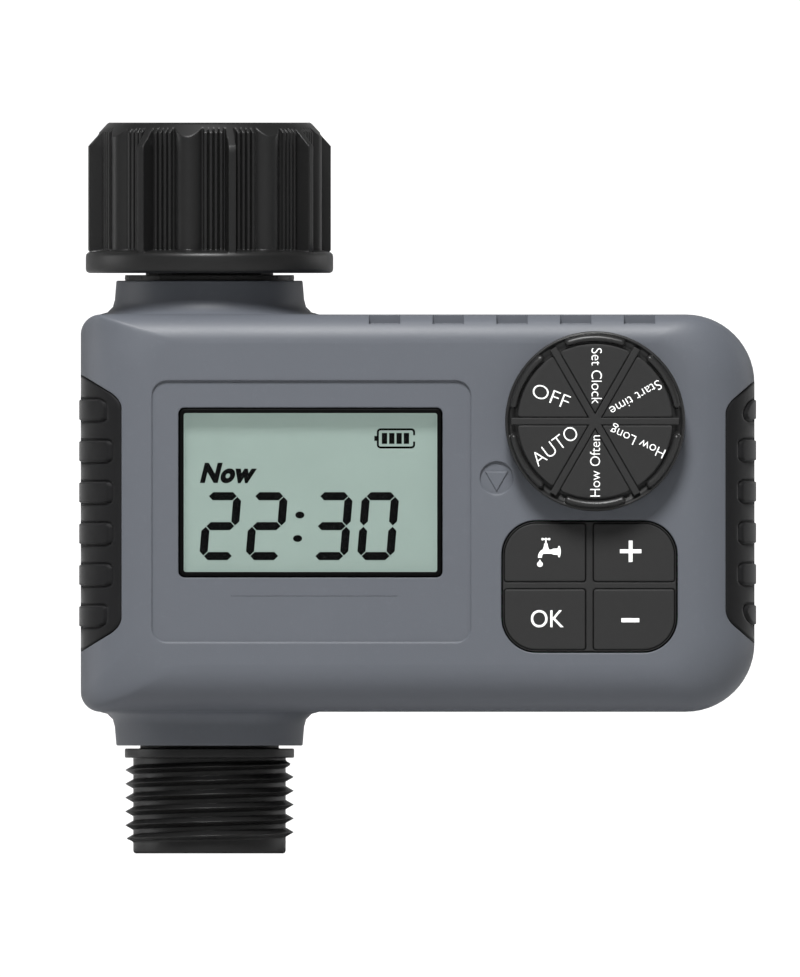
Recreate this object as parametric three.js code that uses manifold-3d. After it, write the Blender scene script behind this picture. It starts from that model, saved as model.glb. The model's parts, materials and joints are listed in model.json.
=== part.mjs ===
// Drip irrigation timer that hangs on a garden tap.
// Millimetres. X runs to the right of the face, Y from the face to the back, Z up.
// The origin is on the water axis at the tap seat, the top of the sealing washer inside the swivel nut.
import * as THREE from "three";
import { mergeVertices } from "three/addons/utils/BufferGeometryUtils.js";
import Module from "manifold-3d";

const wasm = await Module();
wasm.setup();

// ---------------------------------------------------------------- driving dimensions
const GAP = 0.3; // clearance between two pieces that only meet
const REACH = 200; // longer than anything that is cut through

// Swivel nut for a 3/4 inch hose thread tap.
const nut = {
  aboveSeat: 16,
  height: 24.1,
  topRadius: 16.2,
  chamfer: 3.6,
  coreRadius: 19.1,
  ribRadius: 19.5,
  ribWidth: 1.25,
  ringRadius: 19.8,
  ringHeight: 3.4,
  boreRadius: 13.3,
  grips: 8,
  firstGrip: 10.6,
  scoopRadius: 2.8,
  scoopDepth: 0.8,
};
const washer = { thickness: 2.2, holeRadius: 8 };
const inletTube = { flange: 2.5, radius: 10.2, bore: 7.5, depth: 15 };
const neck = { gapToNut: 0.3, gapToCollar: 0.2, height: 0.7, radius: 13.55 };
const filter = { radius: 7, height: 9, wall: 0.8, rim: 0.7 };

// Housing, split at the plane of the water axis.
const body = {
  left: -20.6,
  width: 107.8,
  height: 63.6,
  front: -24,
  back: 22,
  parting: 0,
  wall: 2.2,
  cornerLeft: 3.2,
  cornerRight: 11,
  roundSide: 11,
  roundTop: 4.6,
  roundBottom: 7.5,
  roundBack: 3,
  seam: 0.2,
};
const collar = { height: 5.4, tipRadius: 14.9, baseRadius: 15.15, fillet: 2.4, lip: 0.3 };
const notch = { count: 5, pitch: 10.2, width: 4.95, depth: 1.3, rearFromFront: 7, lastFromRight: 18.4 };

// Outlet with a 3/4 inch hose thread.
const outlet = {
  neckRadius: 11.1,
  neckHeight: 0.45,
  flangeRadius: 13.55,
  flangeHeight: 1.5,
  threadRadius: 13.5,
  rootRadius: 12.2,
  pitch: 2.209,
  threadLength: 13.7,
  plainEnd: 1.6,
  tipChamfer: 0.4,
  mouthRadius: 8.6,
  mouthDepth: 13,
  boreRadius: 6,
};

// Ball valve, gear train and motor.
const ball = { radius: 9, bore: 5, slotWidth: 2.6, slotDepth: 2.4 };
const valve = { wall: 2.2, clearance: 0.4, fit: 0.3, stemBoss: 6, stemBossEnd: 16.4 };
const stem = { radius: 3, tongue: 2, end: 22.6 };
const oRing = { section: 0.75 };
const gears = {
  caseStart: 17,
  caseEnd: 29,
  wall: 1.2,
  firstModule: 0.6,
  lastModule: 0.85,
  pinionTeeth: 10,
  wheelTeeth: 32,
  outputTeeth: 24,
  outputStart: 19.3,
  face: 2.6,
  wheelStart: 23.7,
  wheelFace: 1.9,
  backlash: 0.16,
  idlerBack: 5,
  motorBack: 8.5,
  pinRadius: 1.5,
};
const motor = { radius: 7.75, flat: 6.1, length: 15.6, shaftRadius: 1 };

// Display stack.
const display = {
  fromAxis: -4.8,
  fromTop: 15.1,
  width: 41.9,
  height: 26.8,
  border: 0.7,
  corner: 0.9,
  recessWidth: 51,
  recessHeight: 41.9,
  recessCorner: 2.4,
  recessLeft: 4.4,
  recessTop: 4.5,
  recessDepth: 0.4,
  windowThickness: 1.5,
  lcdThickness: 2,
};
const board = { fromFront: 8.6, thickness: 1.6, margin: 3.4, screwInset: 3 };

// Selector dial.
const dial = {
  fromRight: 25.5,
  fromTop: 17.1,
  radius: 14.4,
  standOff: 0.4,
  height: 4.3,
  discRadius: 12.3,
  discDepth: 1.1,
  gripHeight: 0.8,
  gripInner: 12.55,
  gripOuter: 13.9,
  gripHalfAngle: 22,
  positions: 6,
  spokeWidth: 1.1,
  spokeHeight: 0.4,
  spokeInner: 1.6,
  shaftRadius: 2.9,
  bossRadius: 6.4,
  sealRoom: 4.9,
  bossDepth: 3.2,
};
const pointer = { distance: 18.2, angle: -150, recessRadius: 2.65, recessDepth: 0.4 };

// Keypad.
const keypad = {
  belowDial: 1.6,
  fromRight: 26.4,
  fromBottom: 9.6,
  width: 27.9,
  corner: 5.5,
  bar: 1.1,
  rim: 0.45,
  clearance: 0.18,
  proud: 0.5,
  travel: 0.8,
  frameDepth: 2.6,
  flange: 0.3,
  flangeDepth: 1.2,
  topShare: 0.49,
};

// Rubber side grips.
const grip = {
  fromTop: 9.8,
  length: 44,
  width: 6.4,
  rightWidth: 4.5,
  tipWidth: 1.6,
  slope: 6,
  thickness: 1,
  ribs: 6,
  ribPitch: 6.6,
  ribHeight: 3.3,
  ribProud: 0.27,
  ribInset: 1.7,
  backEdge: -1.5,
};

// Two AAA cells behind a gasketed door in the back.
const cell = { radius: 5.25, length: 44.5, nub: 1, nubRadius: 1.9, between: 0.5, around: 0.3, ends: 1.3 };
const tray = { doorFromRight: 9.3, wall: 1.2, ledge: 3.2 };
const door = {
  thickness: 2,
  corner: 2.5,
  flush: 0.1,
  barrel: 1.2,
  pin: 0.55,
  hingeRoom: 2,
  lug: 3,
  frame: 2.6,
};
const gasket = { width: 1.2, height: 0.9 };
const contact = { thickness: 0.4, width: 8 };

// Screws.
const screw = { boss: 3.4, shank: 1.25, head: 2.3, headHeight: 1.6, length: 16, recess: 12, slot: 0.6 };
const boardScrew = { boss: 2.2, shank: 0.8, head: 1.8, headHeight: 1.1, length: 5 };
const housingScrews = { leftInset: 5.2, leftFromEdge: 6.7, rightInset: 5.4, rightFromEdge: 17.2 };

// ---------------------------------------------------------------- derived places
const nutTop = nut.aboveSeat;
const nutBottom = nutTop - nut.height;
const washerBottom = -washer.thickness;
const neckTop = nutBottom - neck.gapToNut;
const neckBottom = neckTop - neck.height;
const collarTop = neckBottom - neck.gapToCollar;
const bodyTop = collarTop - collar.height;
const bodyBottom = bodyTop - body.height;
const bodyMiddle = (bodyTop + bodyBottom) / 2;
const bodyRight = body.left + body.width;
const collarBottom = bodyBottom - collar.height;
const innerFront = body.front + body.wall;
const innerBack = body.back - body.wall;
const chamberRadius = ball.radius + valve.clearance;
const valveRadius = chamberRadius + valve.wall;
const collarBore = valveRadius + GAP;
const boardFront = body.front + board.fromFront;
const boardBack = boardFront + board.thickness;
const dialX = bodyRight - dial.fromRight;
const dialZ = bodyTop - dial.fromTop;
const dialBack = body.front - dial.standOff;
const dialFace = dialBack - dial.height + dial.gripHeight;
const keypadX = bodyRight - keypad.fromRight;
const keypadTop = dialZ - dial.radius - keypad.belowDial;
const keypadBottom = bodyBottom + keypad.fromBottom;
const keypadHeight = keypadTop - keypadBottom;
const keypadZ = (keypadTop + keypadBottom) / 2;
const displayX = display.fromAxis + display.width / 2;
const displayZ = bodyTop - display.fromTop - display.height / 2;

// ---------------------------------------------------------------- geometry helpers
function solidOf(geometry) {
  const bare = geometry.clone();
  bare.deleteAttribute("normal");
  bare.deleteAttribute("uv");
  const merged = mergeVertices(bare, 1e-4);
  const vertProperties = new Float32Array(merged.attributes.position.array);
  const triVerts = new Uint32Array(merged.index.array);
  return new wasm.Manifold(new wasm.Mesh({ numProp: 3, vertProperties, triVerts }));
}

function join(first, ...others) {
  return others.reduce((sum, other) => sum.add(other), first);
}

function cut(first, ...others) {
  return others.reduce((rest, other) => rest.subtract(other), first);
}

function geometryOf(solid) {
  const mesh = solid.getMesh();
  const geometry = new THREE.BufferGeometry();
  geometry.setAttribute("position", new THREE.BufferAttribute(mesh.vertProperties, mesh.numProp));
  geometry.setIndex(new THREE.BufferAttribute(mesh.triVerts, 1));
  const faceted = geometry.toNonIndexed();
  faceted.computeVertexNormals();
  return faceted;
}

// A box between two corners.
function box(x0, y0, z0, x1, y1, z1) {
  const geometry = new THREE.BoxGeometry(x1 - x0, y1 - y0, z1 - z0);
  return solidOf(geometry.translate((x0 + x1) / 2, (y0 + y1) / 2, (z0 + z1) / 2));
}

// Turns a shape made about Z so that its axis runs along X or Y.
function alongX(geometry) {
  return geometry.rotateY(Math.PI / 2);
}

function alongY(geometry) {
  return geometry.rotateX(-Math.PI / 2);
}

// A solid of revolution about Z. The profile is a list of [radius, height] that closes on itself.
function turned(profile, segments = 20) {
  const points = profile.map(([radius, height]) => new THREE.Vector2(radius, height));
  if (THREE.ShapeUtils.area(points) < 0) points.reverse();
  points.push(points[0].clone());
  return new THREE.LatheGeometry(points, segments).rotateX(Math.PI / 2);
}

function rod(radius, low, high, segments = 16) {
  return turned([[0, low], [radius, low], [radius, high], [0, high]], segments);
}

function ring(inner, outer, low, high, segments = 20) {
  return turned([[inner, low], [outer, low], [outer, high], [inner, high]], segments);
}

function torus(radius, section, height = 0, segments = 16) {
  return new THREE.TorusGeometry(radius, section, 5, segments).translate(0, 0, height);
}

// A rectangle with a radius at each corner: [lower left, lower right, upper right, upper left].
function roundedRectangle(x0, y0, x1, y1, radii) {
  const [lowerLeft, lowerRight, upperRight, upperLeft] = radii.map((radius) => Math.max(radius, 0.05));
  const shape = new THREE.Shape();
  shape.moveTo(x0 + lowerLeft, y0);
  shape.lineTo(x1 - lowerRight, y0);
  shape.absarc(x1 - lowerRight, y0 + lowerRight, lowerRight, -Math.PI / 2, 0);
  shape.lineTo(x1, y1 - upperRight);
  shape.absarc(x1 - upperRight, y1 - upperRight, upperRight, 0, Math.PI / 2);
  shape.lineTo(x0 + upperLeft, y1);
  shape.absarc(x0 + upperLeft, y1 - upperLeft, upperLeft, Math.PI / 2, Math.PI);
  shape.lineTo(x0, y0 + lowerLeft);
  shape.absarc(x0 + lowerLeft, y0 + lowerLeft, lowerLeft, Math.PI, Math.PI * 1.5);
  return shape;
}

function centredRectangle(x, y, width, height, radius) {
  const radii = [radius, radius, radius, radius];
  return roundedRectangle(x - width / 2, y - height / 2, x + width / 2, y + height / 2, radii);
}

// A plate whose outline is drawn in X and Z and which fills front <= Y <= back.
function facePlate(shape, front, back, curveSegments = 3) {
  const settings = { depth: back - front, bevelEnabled: false, curveSegments };
  const geometry = new THREE.ExtrudeGeometry(shape, settings);
  return solidOf(geometry.rotateX(Math.PI / 2).translate(0, back, 0));
}

// A prism whose outline is drawn in X and Y and which fills low <= Z <= high.
function uprightPrism(shape, low, high, curveSegments = 3) {
  const settings = { depth: high - low, bevelEnabled: false, curveSegments };
  const geometry = new THREE.ExtrudeGeometry(shape, settings);
  return solidOf(geometry.translate(0, 0, low));
}

// A prism whose outline is drawn in Y and Z and which fills left <= X <= right.
function crossPrism(shape, left, right, curveSegments = 3) {
  const settings = { depth: right - left, bevelEnabled: false, curveSegments };
  const geometry = new THREE.ExtrudeGeometry(shape, settings);
  const basis = new THREE.Matrix4().makeBasis(
    new THREE.Vector3(0, 1, 0),
    new THREE.Vector3(0, 0, 1),
    new THREE.Vector3(1, 0, 0),
  );
  return solidOf(geometry.applyMatrix4(basis).translate(left, 0, 0));
}

function rodAlongY(radius, x, z, front, back, segments = 12) {
  return solidOf(alongY(rod(radius, front, back, segments)).translate(x, 0, z));
}

// ---------------------------------------------------------------- scene graph
const root = new THREE.Group();

function group(x, y, z, parent = root) {
  const made = new THREE.Group();
  made.position.set(x, y, z);
  parent.add(made);
  return made;
}

function finish(color, roughness, metalness = 0) {
  return new THREE.MeshStandardMaterial({ color, roughness, metalness });
}

const finishes = {
  housing: finish(0x6f747e, 0.55),
  blackPlastic: finish(0x1d1e20, 0.45),
  rubber: finish(0x1c1c1e, 0.85),
  dialPlastic: finish(0x3a3a3a, 0.5),
  label: finish(0x2c2d2f, 0.6),
  clear: finish(0xdfe8e4, 0.08),
  lcd: finish(0x9bafa6, 0.35),
  boardGreen: finish(0x1f5a38, 0.5),
  whitePlastic: finish(0xd8d8d4, 0.5),
  acetal: finish(0xe9e6dc, 0.45),
  steel: finish(0xb4b6b8, 0.35, 0.9),
  brass: finish(0xb99a55, 0.35, 0.9),
  cellSkin: finish(0x2c5f9e, 0.4),
};

function piece(name, solid, material, parent = root) {
  const mesh = new THREE.Mesh(geometryOf(solid), material);
  mesh.name = name;
  parent.add(mesh);
  return mesh;
}

// ---------------------------------------------------------------- housing shapes
// The body, drawn in by the inset: its outlines seen from the front, from above and from the side, combined.
function housingSolid(inset, steps = 4) {
  const [x0, x1] = [body.left + inset, bodyRight - inset];
  const [y0, y1] = [body.front + inset, body.back - inset];
  const [z0, z1] = [bodyBottom + inset, bodyTop - inset];
  const [left, right, side, back, bottom, top] = [
    body.cornerLeft,
    body.cornerRight,
    body.roundSide,
    body.roundBack,
    body.roundBottom,
    body.roundTop,
  ].map((radius) => radius - inset);
  const face = facePlate(roundedRectangle(x0, z0, x1, z1, [left, right, right, left]), y0 - 1, y1 + 1, steps);
  const above = roundedRectangle(x0, y0, x1, y1, [side, side, back, back]);
  const plan = uprightPrism(above, z0 - 1, z1 + 1, steps);
  const profile = roundedRectangle(y0, z0, y1, z1, [bottom, back, back, top]);
  const section = crossPrism(profile, x0 - 1, x1 + 1, steps - 1);
  return face.intersect(plan).intersect(section);
}

// A collar whose foot flares into the body; direction is 1 above the body and -1 below it.
function collarSolid(foot, direction) {
  const flare = collar.baseRadius + collar.fillet;
  const profile = [[0, -2], [collar.baseRadius, -2]];
  const steps = 3;
  for (let i = 0; i <= steps; i++) {
    const angle = Math.PI * (1.5 - (0.5 * i) / steps);
    const height = collar.fillet * (1 + Math.sin(angle));
    profile.push([flare + collar.fillet * Math.cos(angle), height]);
  }
  profile.push([collar.tipRadius, collar.height - collar.lip]);
  profile.push([collar.tipRadius - collar.lip, collar.height]);
  profile.push([0, collar.height]);
  return solidOf(turned(profile.map(([radius, height]) => [radius, foot + direction * height])));
}

function housingOutside() {
  return join(housingSolid(0), collarSolid(bodyTop, 1), collarSolid(bodyBottom, -1));
}

function halfSpace(front) {
  const seam = body.seam / 2;
  return front
    ? box(-REACH, -REACH, -REACH, REACH, body.parting - seam, REACH)
    : box(-REACH, body.parting + seam, -REACH, REACH, REACH, REACH);
}

const screwPlaces = [
  [body.left + housingScrews.leftInset, bodyTop - housingScrews.leftFromEdge],
  [body.left + housingScrews.leftInset, bodyBottom + housingScrews.leftFromEdge],
  [bodyRight - housingScrews.rightInset, bodyTop - housingScrews.rightFromEdge],
  [bodyRight - housingScrews.rightInset, bodyBottom + housingScrews.rightFromEdge],
];
const headSeat = body.back - screw.recess;

const boardLeft = body.left + housingScrews.leftInset + screw.boss + GAP;
const boardRight = bodyRight - housingScrews.rightInset - screw.boss - GAP;
const boardTop = bodyTop - board.margin;
const boardBottom = bodyBottom + board.margin;
const boardScrewPlaces = [
  [boardLeft + board.screwInset, boardTop - board.screwInset],
  [boardLeft + board.screwInset, boardBottom + board.screwInset],
  [boardRight - board.screwInset, boardTop - board.screwInset],
  [boardRight - board.screwInset, boardBottom + board.screwInset],
];

// ---------------------------------------------------------------- side grips
// The outline that a grip covers, from the side edge inwards. Side is -1 on the left and 1 on the right.
function gripRegion(side, grow) {
  const edge = side < 0 ? body.left : bodyRight;
  const width = (side < 0 ? grip.width : grip.rightWidth) + grow;
  const top = bodyTop - grip.fromTop + grow;
  const bottom = top - grip.length - 2 * grow;
  const shoulder = grip.slope * 0.43;
  const half = [
    [-3, 0],
    [grip.tipWidth * 0.2, 0],
    [width * 0.67, shoulder],
    [width * 0.93, grip.slope * 0.72],
    [width, grip.slope],
  ];
  const lower = half.map(([inwards, down]) => [inwards, bottom + down]).reverse();
  const outline = [...half.map(([inwards, down]) => [inwards, top - down]), ...lower];
  const points = outline.map(([inwards, z]) => new THREE.Vector2(edge - side * inwards, z));
  if (THREE.ShapeUtils.area(points) < 0) points.reverse();
  return facePlate(new THREE.Shape(points), body.front - 3, grip.backEdge + grow);
}

function gripPocket(side) {
  const clearance = GAP * 0.6;
  const depth = housingSolid(grip.thickness + clearance);
  return gripRegion(side, clearance).subtract(depth);
}

function gripSolid(side) {
  const region = gripRegion(side, 0);
  const pad = region.intersect(housingSolid(0)).subtract(housingSolid(grip.thickness));
  const proud = housingSolid(-grip.ribProud).subtract(housingSolid(grip.thickness / 2));
  const edge = side < 0 ? body.left : bodyRight;
  const width = side < 0 ? grip.width : grip.rightWidth;
  const middle = bodyTop - grip.fromTop - grip.length / 2;
  const reach = width - grip.ribInset;
  const half = grip.ribHeight / 2;
  const ribs = [];
  for (let i = 0; i < grip.ribs; i++) {
    const z = middle + (i - (grip.ribs - 1) / 2) * grip.ribPitch;
    const ends = [edge + side * 3, edge - side * reach].sort((a, b) => a - b);
    ribs.push(
      box(ends[0], body.front - 3, z - half, ends[1], grip.backEdge - GAP, z + half),
    );
  }
  return join(pad, proud.intersect(join(...ribs)));
}

piece("left_grip", gripSolid(-1), finishes.rubber);
piece("right_grip", gripSolid(1), finishes.rubber);

// ---------------------------------------------------------------- front housing
const bezelClearance = 0.2;
const keyFrameOpening = keypad.width + 2 * bezelClearance;

// How far behind the face the rounded side edge lies, at a distance in from the side.
function edgeDepth(round, inset) {
  return round - Math.sqrt(round ** 2 - (round - Math.min(inset, round)) ** 2);
}

const bossInset = Math.min(housingScrews.leftInset, housingScrews.rightInset) - screw.boss;
const bossFront = body.front + edgeDepth(body.roundSide, bossInset) + body.wall / 4;
const bossBack = body.back - edgeDepth(body.roundBack, bossInset) - body.wall / 4;

function screwBosses(low, high) {
  return screwPlaces.map(([x, z]) => rodAlongY(screw.boss, x, z, low, high, 10));
}

function frontOpenings() {
  const recess = facePlate(
    centredRectangle(
      display.fromAxis - display.recessLeft + display.recessWidth / 2,
      bodyTop - display.fromTop + display.recessTop - display.recessHeight / 2,
      display.recessWidth,
      display.recessHeight,
      display.recessCorner,
    ),
    body.front - 1,
    body.front + display.recessDepth,
  );
  const window = facePlate(
    centredRectangle(
      displayX,
      displayZ,
      display.width + 2 * bezelClearance,
      display.height + 2 * bezelClearance,
      display.corner,
    ),
    body.front - 1,
    innerFront + 1,
  );
  const keys = facePlate(
    centredRectangle(keypadX, keypadZ, keyFrameOpening, keypadHeight + 2 * bezelClearance, keypad.corner),
    body.front - 1,
    innerFront + 1,
  );
  const shaftRoom = dial.shaftRadius + GAP;
  const shaft = rodAlongY(shaftRoom, dialX, dialZ, body.front - 1, innerFront + dial.bossDepth + 1);
  const sealRoom = rodAlongY(dial.sealRoom, dialX, dialZ, innerFront, innerFront + dial.bossDepth + 1);
  const angle = THREE.MathUtils.degToRad(pointer.angle);
  const mark = rodAlongY(
    pointer.recessRadius,
    dialX + pointer.distance * Math.cos(angle),
    dialZ + pointer.distance * Math.sin(angle),
    body.front - 1,
    body.front + pointer.recessDepth,
  );
  return [recess, window, keys, shaft, sealRoom, mark];
}

function topNotches() {
  const notches = [];
  for (let i = 0; i < notch.count; i++) {
    const x = bodyRight - notch.lastFromRight - i * notch.pitch;
    const rear = body.front + notch.rearFromFront;
    notches.push(
      box(x - notch.width / 2, body.front - 1, bodyTop - notch.depth, x + notch.width / 2, rear, bodyTop + 1),
    );
  }
  return notches;
}

function frontHousing() {
  const inside = housingSolid(body.wall, 3);
  const waterBore = solidOf(rod(collarBore, collarBottom - 1, collarTop + 1, 20));
  const shell = cut(housingOutside(), inside, waterBore).intersect(halfSpace(true));
  const dialBoss = rodAlongY(dial.bossRadius, dialX, dialZ, body.front + 1, innerFront + dial.bossDepth);
  const boardPosts = boardScrewPlaces.map(([x, z]) =>
    rodAlongY(boardScrew.boss, x, z, body.front + body.wall / 2, boardFront - GAP, 8),
  );
  const bosses = screwBosses(bossFront, body.parting - body.seam / 2);
  const screwHoles = screwPlaces.map(([x, z]) =>
    rodAlongY(screw.shank + GAP, x, z, headSeat - screw.length - 1, body.parting + 1, 8),
  );
  const postHoles = boardScrewPlaces.map(([x, z]) =>
    rodAlongY(boardScrew.shank + GAP, x, z, boardBack - boardScrew.length - 1, boardFront + 1, 8),
  );
  return cut(
    join(shell, dialBoss, ...boardPosts, ...bosses),
    ...screwHoles,
    ...postHoles,
    ...frontOpenings(),
    ...topNotches(),
    gripPocket(-1),
    gripPocket(1),
  );
}

piece("front_housing", frontHousing(), finishes.housing);

// ---------------------------------------------------------------- battery compartment and rear housing
const doorRight = bodyRight - tray.doorFromRight;
const opening = {
  width: 4 * cell.radius + cell.between + 2 * cell.around,
  height: cell.length + 2 * cell.ends,
};
opening.right = doorRight - tray.ledge;
opening.left = opening.right - opening.width;
opening.middle = (opening.left + opening.right) / 2;
const doorLeft = opening.left - tray.ledge;
const doorHeight = opening.height + 2 * tray.ledge;
const doorOuter = body.back - door.flush;
const doorInner = doorOuter - door.thickness;
const ledgeBack = doorInner - GAP;
const frameFront = ledgeBack - door.frame;
const hingeY = doorOuter - door.barrel;
const barrelLength = doorHeight - 2 * door.lug - 2 * door.corner;
const cellY = doorInner - 2 * GAP - cell.radius;
const gasketMiddle = tray.ledge / 2;

function compartment(grow, front, back, radius = 0.4) {
  const shape = centredRectangle(
    opening.middle,
    bodyMiddle,
    opening.width + 2 * grow,
    opening.height + 2 * grow,
    radius,
  );
  return facePlate(shape, front, back, 3);
}

function frameAround(inner, outer, front, back, radius = 0.4) {
  return compartment(outer, front, back, radius + outer / 2).subtract(
    compartment(inner, front - 1, back + 1, radius + inner / 2),
  );
}

function hingePocket() {
  return box(
    doorLeft - door.hingeRoom,
    hingeY - door.barrel - GAP,
    bodyMiddle - barrelLength / 2 - GAP,
    doorLeft + door.hingeRoom,
    body.back + 1,
    bodyMiddle + barrelLength / 2 + GAP,
  );
}

function rearHousing() {
  const inside = housingSolid(body.wall, 3);
  const waterBore = solidOf(rod(collarBore, collarBottom - 1, collarTop + 1, 20));
  const shell = cut(housingOutside(), inside, waterBore).intersect(halfSpace(false));
  const bosses = screwBosses(body.parting + body.seam / 2, bossBack);
  const frameGrow = tray.ledge + door.hingeRoom + 1;
  const frame = compartment(frameGrow, frameFront, innerBack + body.wall / 2, 1);
  const holes = screwPlaces.map(([x, z]) =>
    rodAlongY(screw.shank + GAP, x, z, body.parting - 1, headSeat + 1, 8),
  );
  const wells = screwPlaces.map(([x, z]) => rodAlongY(screw.head + GAP, x, z, headSeat, body.back + 1, 10));
  const doorGap = tray.ledge + GAP;
  const doorRoom = compartment(doorGap, ledgeBack, body.back + 1, door.corner - doorGap / 2);
  const groove = frameAround(
    gasketMiddle - gasket.width / 2 - GAP / 2,
    gasketMiddle + gasket.width / 2 + GAP / 2,
    ledgeBack - gasket.height - GAP / 2,
    ledgeBack + 1,
  );
  const pinHole = solidOf(
    rod(door.pin + GAP, -barrelLength / 2 - door.lug, barrelLength / 2 + door.lug, 12),
  ).translate([doorLeft, hingeY, bodyMiddle]);
  const through = compartment(0, frameFront - 1, body.back + 1);
  const thumbNotch = rodAlongY(door.lug * 1.5, doorRight, bodyMiddle, body.back - 1, body.back + 1);
  return cut(
    join(shell, ...bosses, frame),
    ...holes,
    ...wells,
    doorRoom,
    groove,
    hingePocket(),
    pinHole,
    through,
    thumbNotch,
    gripPocket(-1),
    gripPocket(1),
  );
}

function batteryDoor() {
  const plate = compartment(tray.ledge, doorInner, doorOuter, door.corner - tray.ledge / 2);
  const hingeSide = box(
    doorLeft - 1,
    doorInner - 1,
    bodyMiddle - doorHeight,
    doorLeft + door.hingeRoom + GAP,
    doorOuter + 1,
    bodyMiddle + doorHeight,
  );
  const hingeLeaf = box(
    doorLeft,
    doorInner,
    bodyMiddle - barrelLength / 2,
    doorLeft + door.hingeRoom + 1,
    doorOuter,
    bodyMiddle + barrelLength / 2,
  );
  const barrel = rod(door.barrel, -barrelLength / 2, barrelLength / 2, 20);
  const bore = rod(door.pin + GAP, -barrelLength, barrelLength, 12);
  const place = [doorLeft, hingeY, bodyMiddle];
  return cut(
    join(plate.subtract(hingeSide), hingeLeaf, solidOf(barrel).translate(place)),
    solidOf(bore).translate(place),
  );
}

function batteryTray() {
  const front = cellY - cell.radius - GAP;
  const outside = compartment(tray.wall, front - tray.wall, frameFront - GAP, 1);
  const divider = box(
    opening.middle - cell.between / 4,
    front - 1,
    bodyMiddle - opening.height / 4,
    opening.middle + cell.between / 4,
    front + cell.radius,
    bodyMiddle + opening.height / 4,
  );
  return join(outside.subtract(compartment(0, front, body.back)), divider);
}

function cellSolid() {
  const half = cell.length / 2;
  return solidOf(
    turned([
      [0, -half],
      [cell.radius - 0.6, -half],
      [cell.radius, -half + 0.6],
      [cell.radius, half - cell.nub - 0.5],
      [cell.radius - 0.5, half - cell.nub],
      [cell.nubRadius, half - cell.nub],
      [cell.nubRadius, half],
      [0, half],
    ]),
  );
}

// A sheet-metal contact against one end of the compartment; end is 1 at the top and -1 at the bottom.
function contactSolid(left, right, end) {
  const outer = opening.height / 2 - GAP / 2;
  const inner = outer - contact.thickness;
  const [low, high] = end > 0 ? [inner, outer] : [-outer, -inner];
  const half = contact.width / 2;
  return box(left, cellY - half, bodyMiddle + low, right, cellY + half, bodyMiddle + high);
}

const cellOffset = cell.radius + cell.between / 2;
piece("rear_housing", rearHousing(), finishes.housing);
piece("battery_tray", batteryTray(), finishes.blackPlastic);
piece("battery_left", cellSolid(), finishes.cellSkin, group(opening.middle - cellOffset, cellY, bodyMiddle));
const rightCell = cellSolid().rotate([180, 0, 0]);
piece("battery_right", rightCell, finishes.cellSkin, group(opening.middle + cellOffset, cellY, bodyMiddle));
const contactHalf = cell.radius - 1;
const contactPlaces = { contact_positive: -cellOffset, contact_negative: cellOffset };
for (const [name, offset] of Object.entries(contactPlaces)) {
  const middle = opening.middle + offset;
  piece(name, contactSolid(middle - contactHalf, middle + contactHalf, 1), finishes.steel);
}
piece(
  "contact_link",
  contactSolid(opening.middle - cellOffset - contactHalf, opening.middle + cellOffset + contactHalf, -1),
  finishes.steel,
);
piece("battery_door", batteryDoor(), finishes.housing);
piece(
  "door_gasket",
  frameAround(
    gasketMiddle - gasket.width / 2,
    gasketMiddle + gasket.width / 2,
    ledgeBack - gasket.height,
    ledgeBack + GAP / 3,
  ),
  finishes.rubber,
);
const hingePin = rod(door.pin, -barrelLength / 2 - door.lug + GAP, barrelLength / 2 + door.lug - GAP, 12);
piece("door_hinge_pin", solidOf(hingePin), finishes.steel, group(doorLeft, hingeY, bodyMiddle));

// A slotted screw along Y whose head looks back; its head seats at Y = 0 and its shank runs forward.
function screwSolid(shank, head, headHeight, length) {
  const profile = [
    [0, -length],
    [shank * 0.5, -length],
    [shank, -length + shank],
    [shank, 0],
    [head, 0],
    [head, headHeight * 0.6],
    [head * 0.7, headHeight],
    [0, headHeight],
  ];
  const blank = solidOf(alongY(turned(profile, 8)));
  const slot = box(-head - 1, headHeight * 0.45, -screw.slot / 2, head + 1, headHeight + 1, screw.slot / 2);
  return blank.subtract(slot);
}

screwPlaces.forEach(([x, z], i) => {
  const solid = screwSolid(screw.shank, screw.head, screw.headHeight, screw.length);
  piece("housing_screw_" + (i + 1), solid, finishes.steel, group(x, headSeat + GAP / 3, z));
});

// ---------------------------------------------------------------- inlet: nut, washer, filter and tube
function swivelNut() {
  const ledge = washerBottom - inletTube.flange - 2 * GAP;
  const core = solidOf(
    turned(
      [
        [inletTube.radius + GAP, nutBottom],
        [nut.ringRadius - 0.5, nutBottom],
        [nut.ringRadius, nutBottom + 0.5],
        [nut.ringRadius, nutBottom + nut.ringHeight - 0.5],
        [nut.ringRadius - 0.4, nutBottom + nut.ringHeight],
        [nut.coreRadius, nutBottom + nut.ringHeight],
        [nut.coreRadius, nutTop - nut.chamfer],
        [nut.topRadius, nutTop],
        [nut.boreRadius + 0.6, nutTop],
        [nut.boreRadius, nutTop - 0.6],
        [nut.boreRadius, ledge],
        [inletTube.radius + GAP, ledge],
      ],
      24,
    ),
  );
  const low = nutBottom + nut.ringHeight - 0.4;
  const high = nutTop - nut.chamfer * 0.7;
  const ribs = [];
  const scoops = [];
  for (let i = 0; i < nut.grips; i++) {
    const angle = nut.firstGrip + (i * 360) / nut.grips;
    const rib = box(nut.coreRadius - 1, -nut.ribWidth / 2, low, nut.ribRadius, nut.ribWidth / 2, high);
    ribs.push(rib.rotate([0, 0, angle]));
    const scoop = solidOf(rod(nut.scoopRadius, low + 0.4, high, 10));
    const place = scoop.translate([nut.coreRadius + nut.scoopRadius - nut.scoopDepth, 0, 0]);
    scoops.push(place.rotate([0, 0, angle + 180 / nut.grips]));
  }
  return cut(join(core, ...ribs), ...scoops);
}

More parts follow.
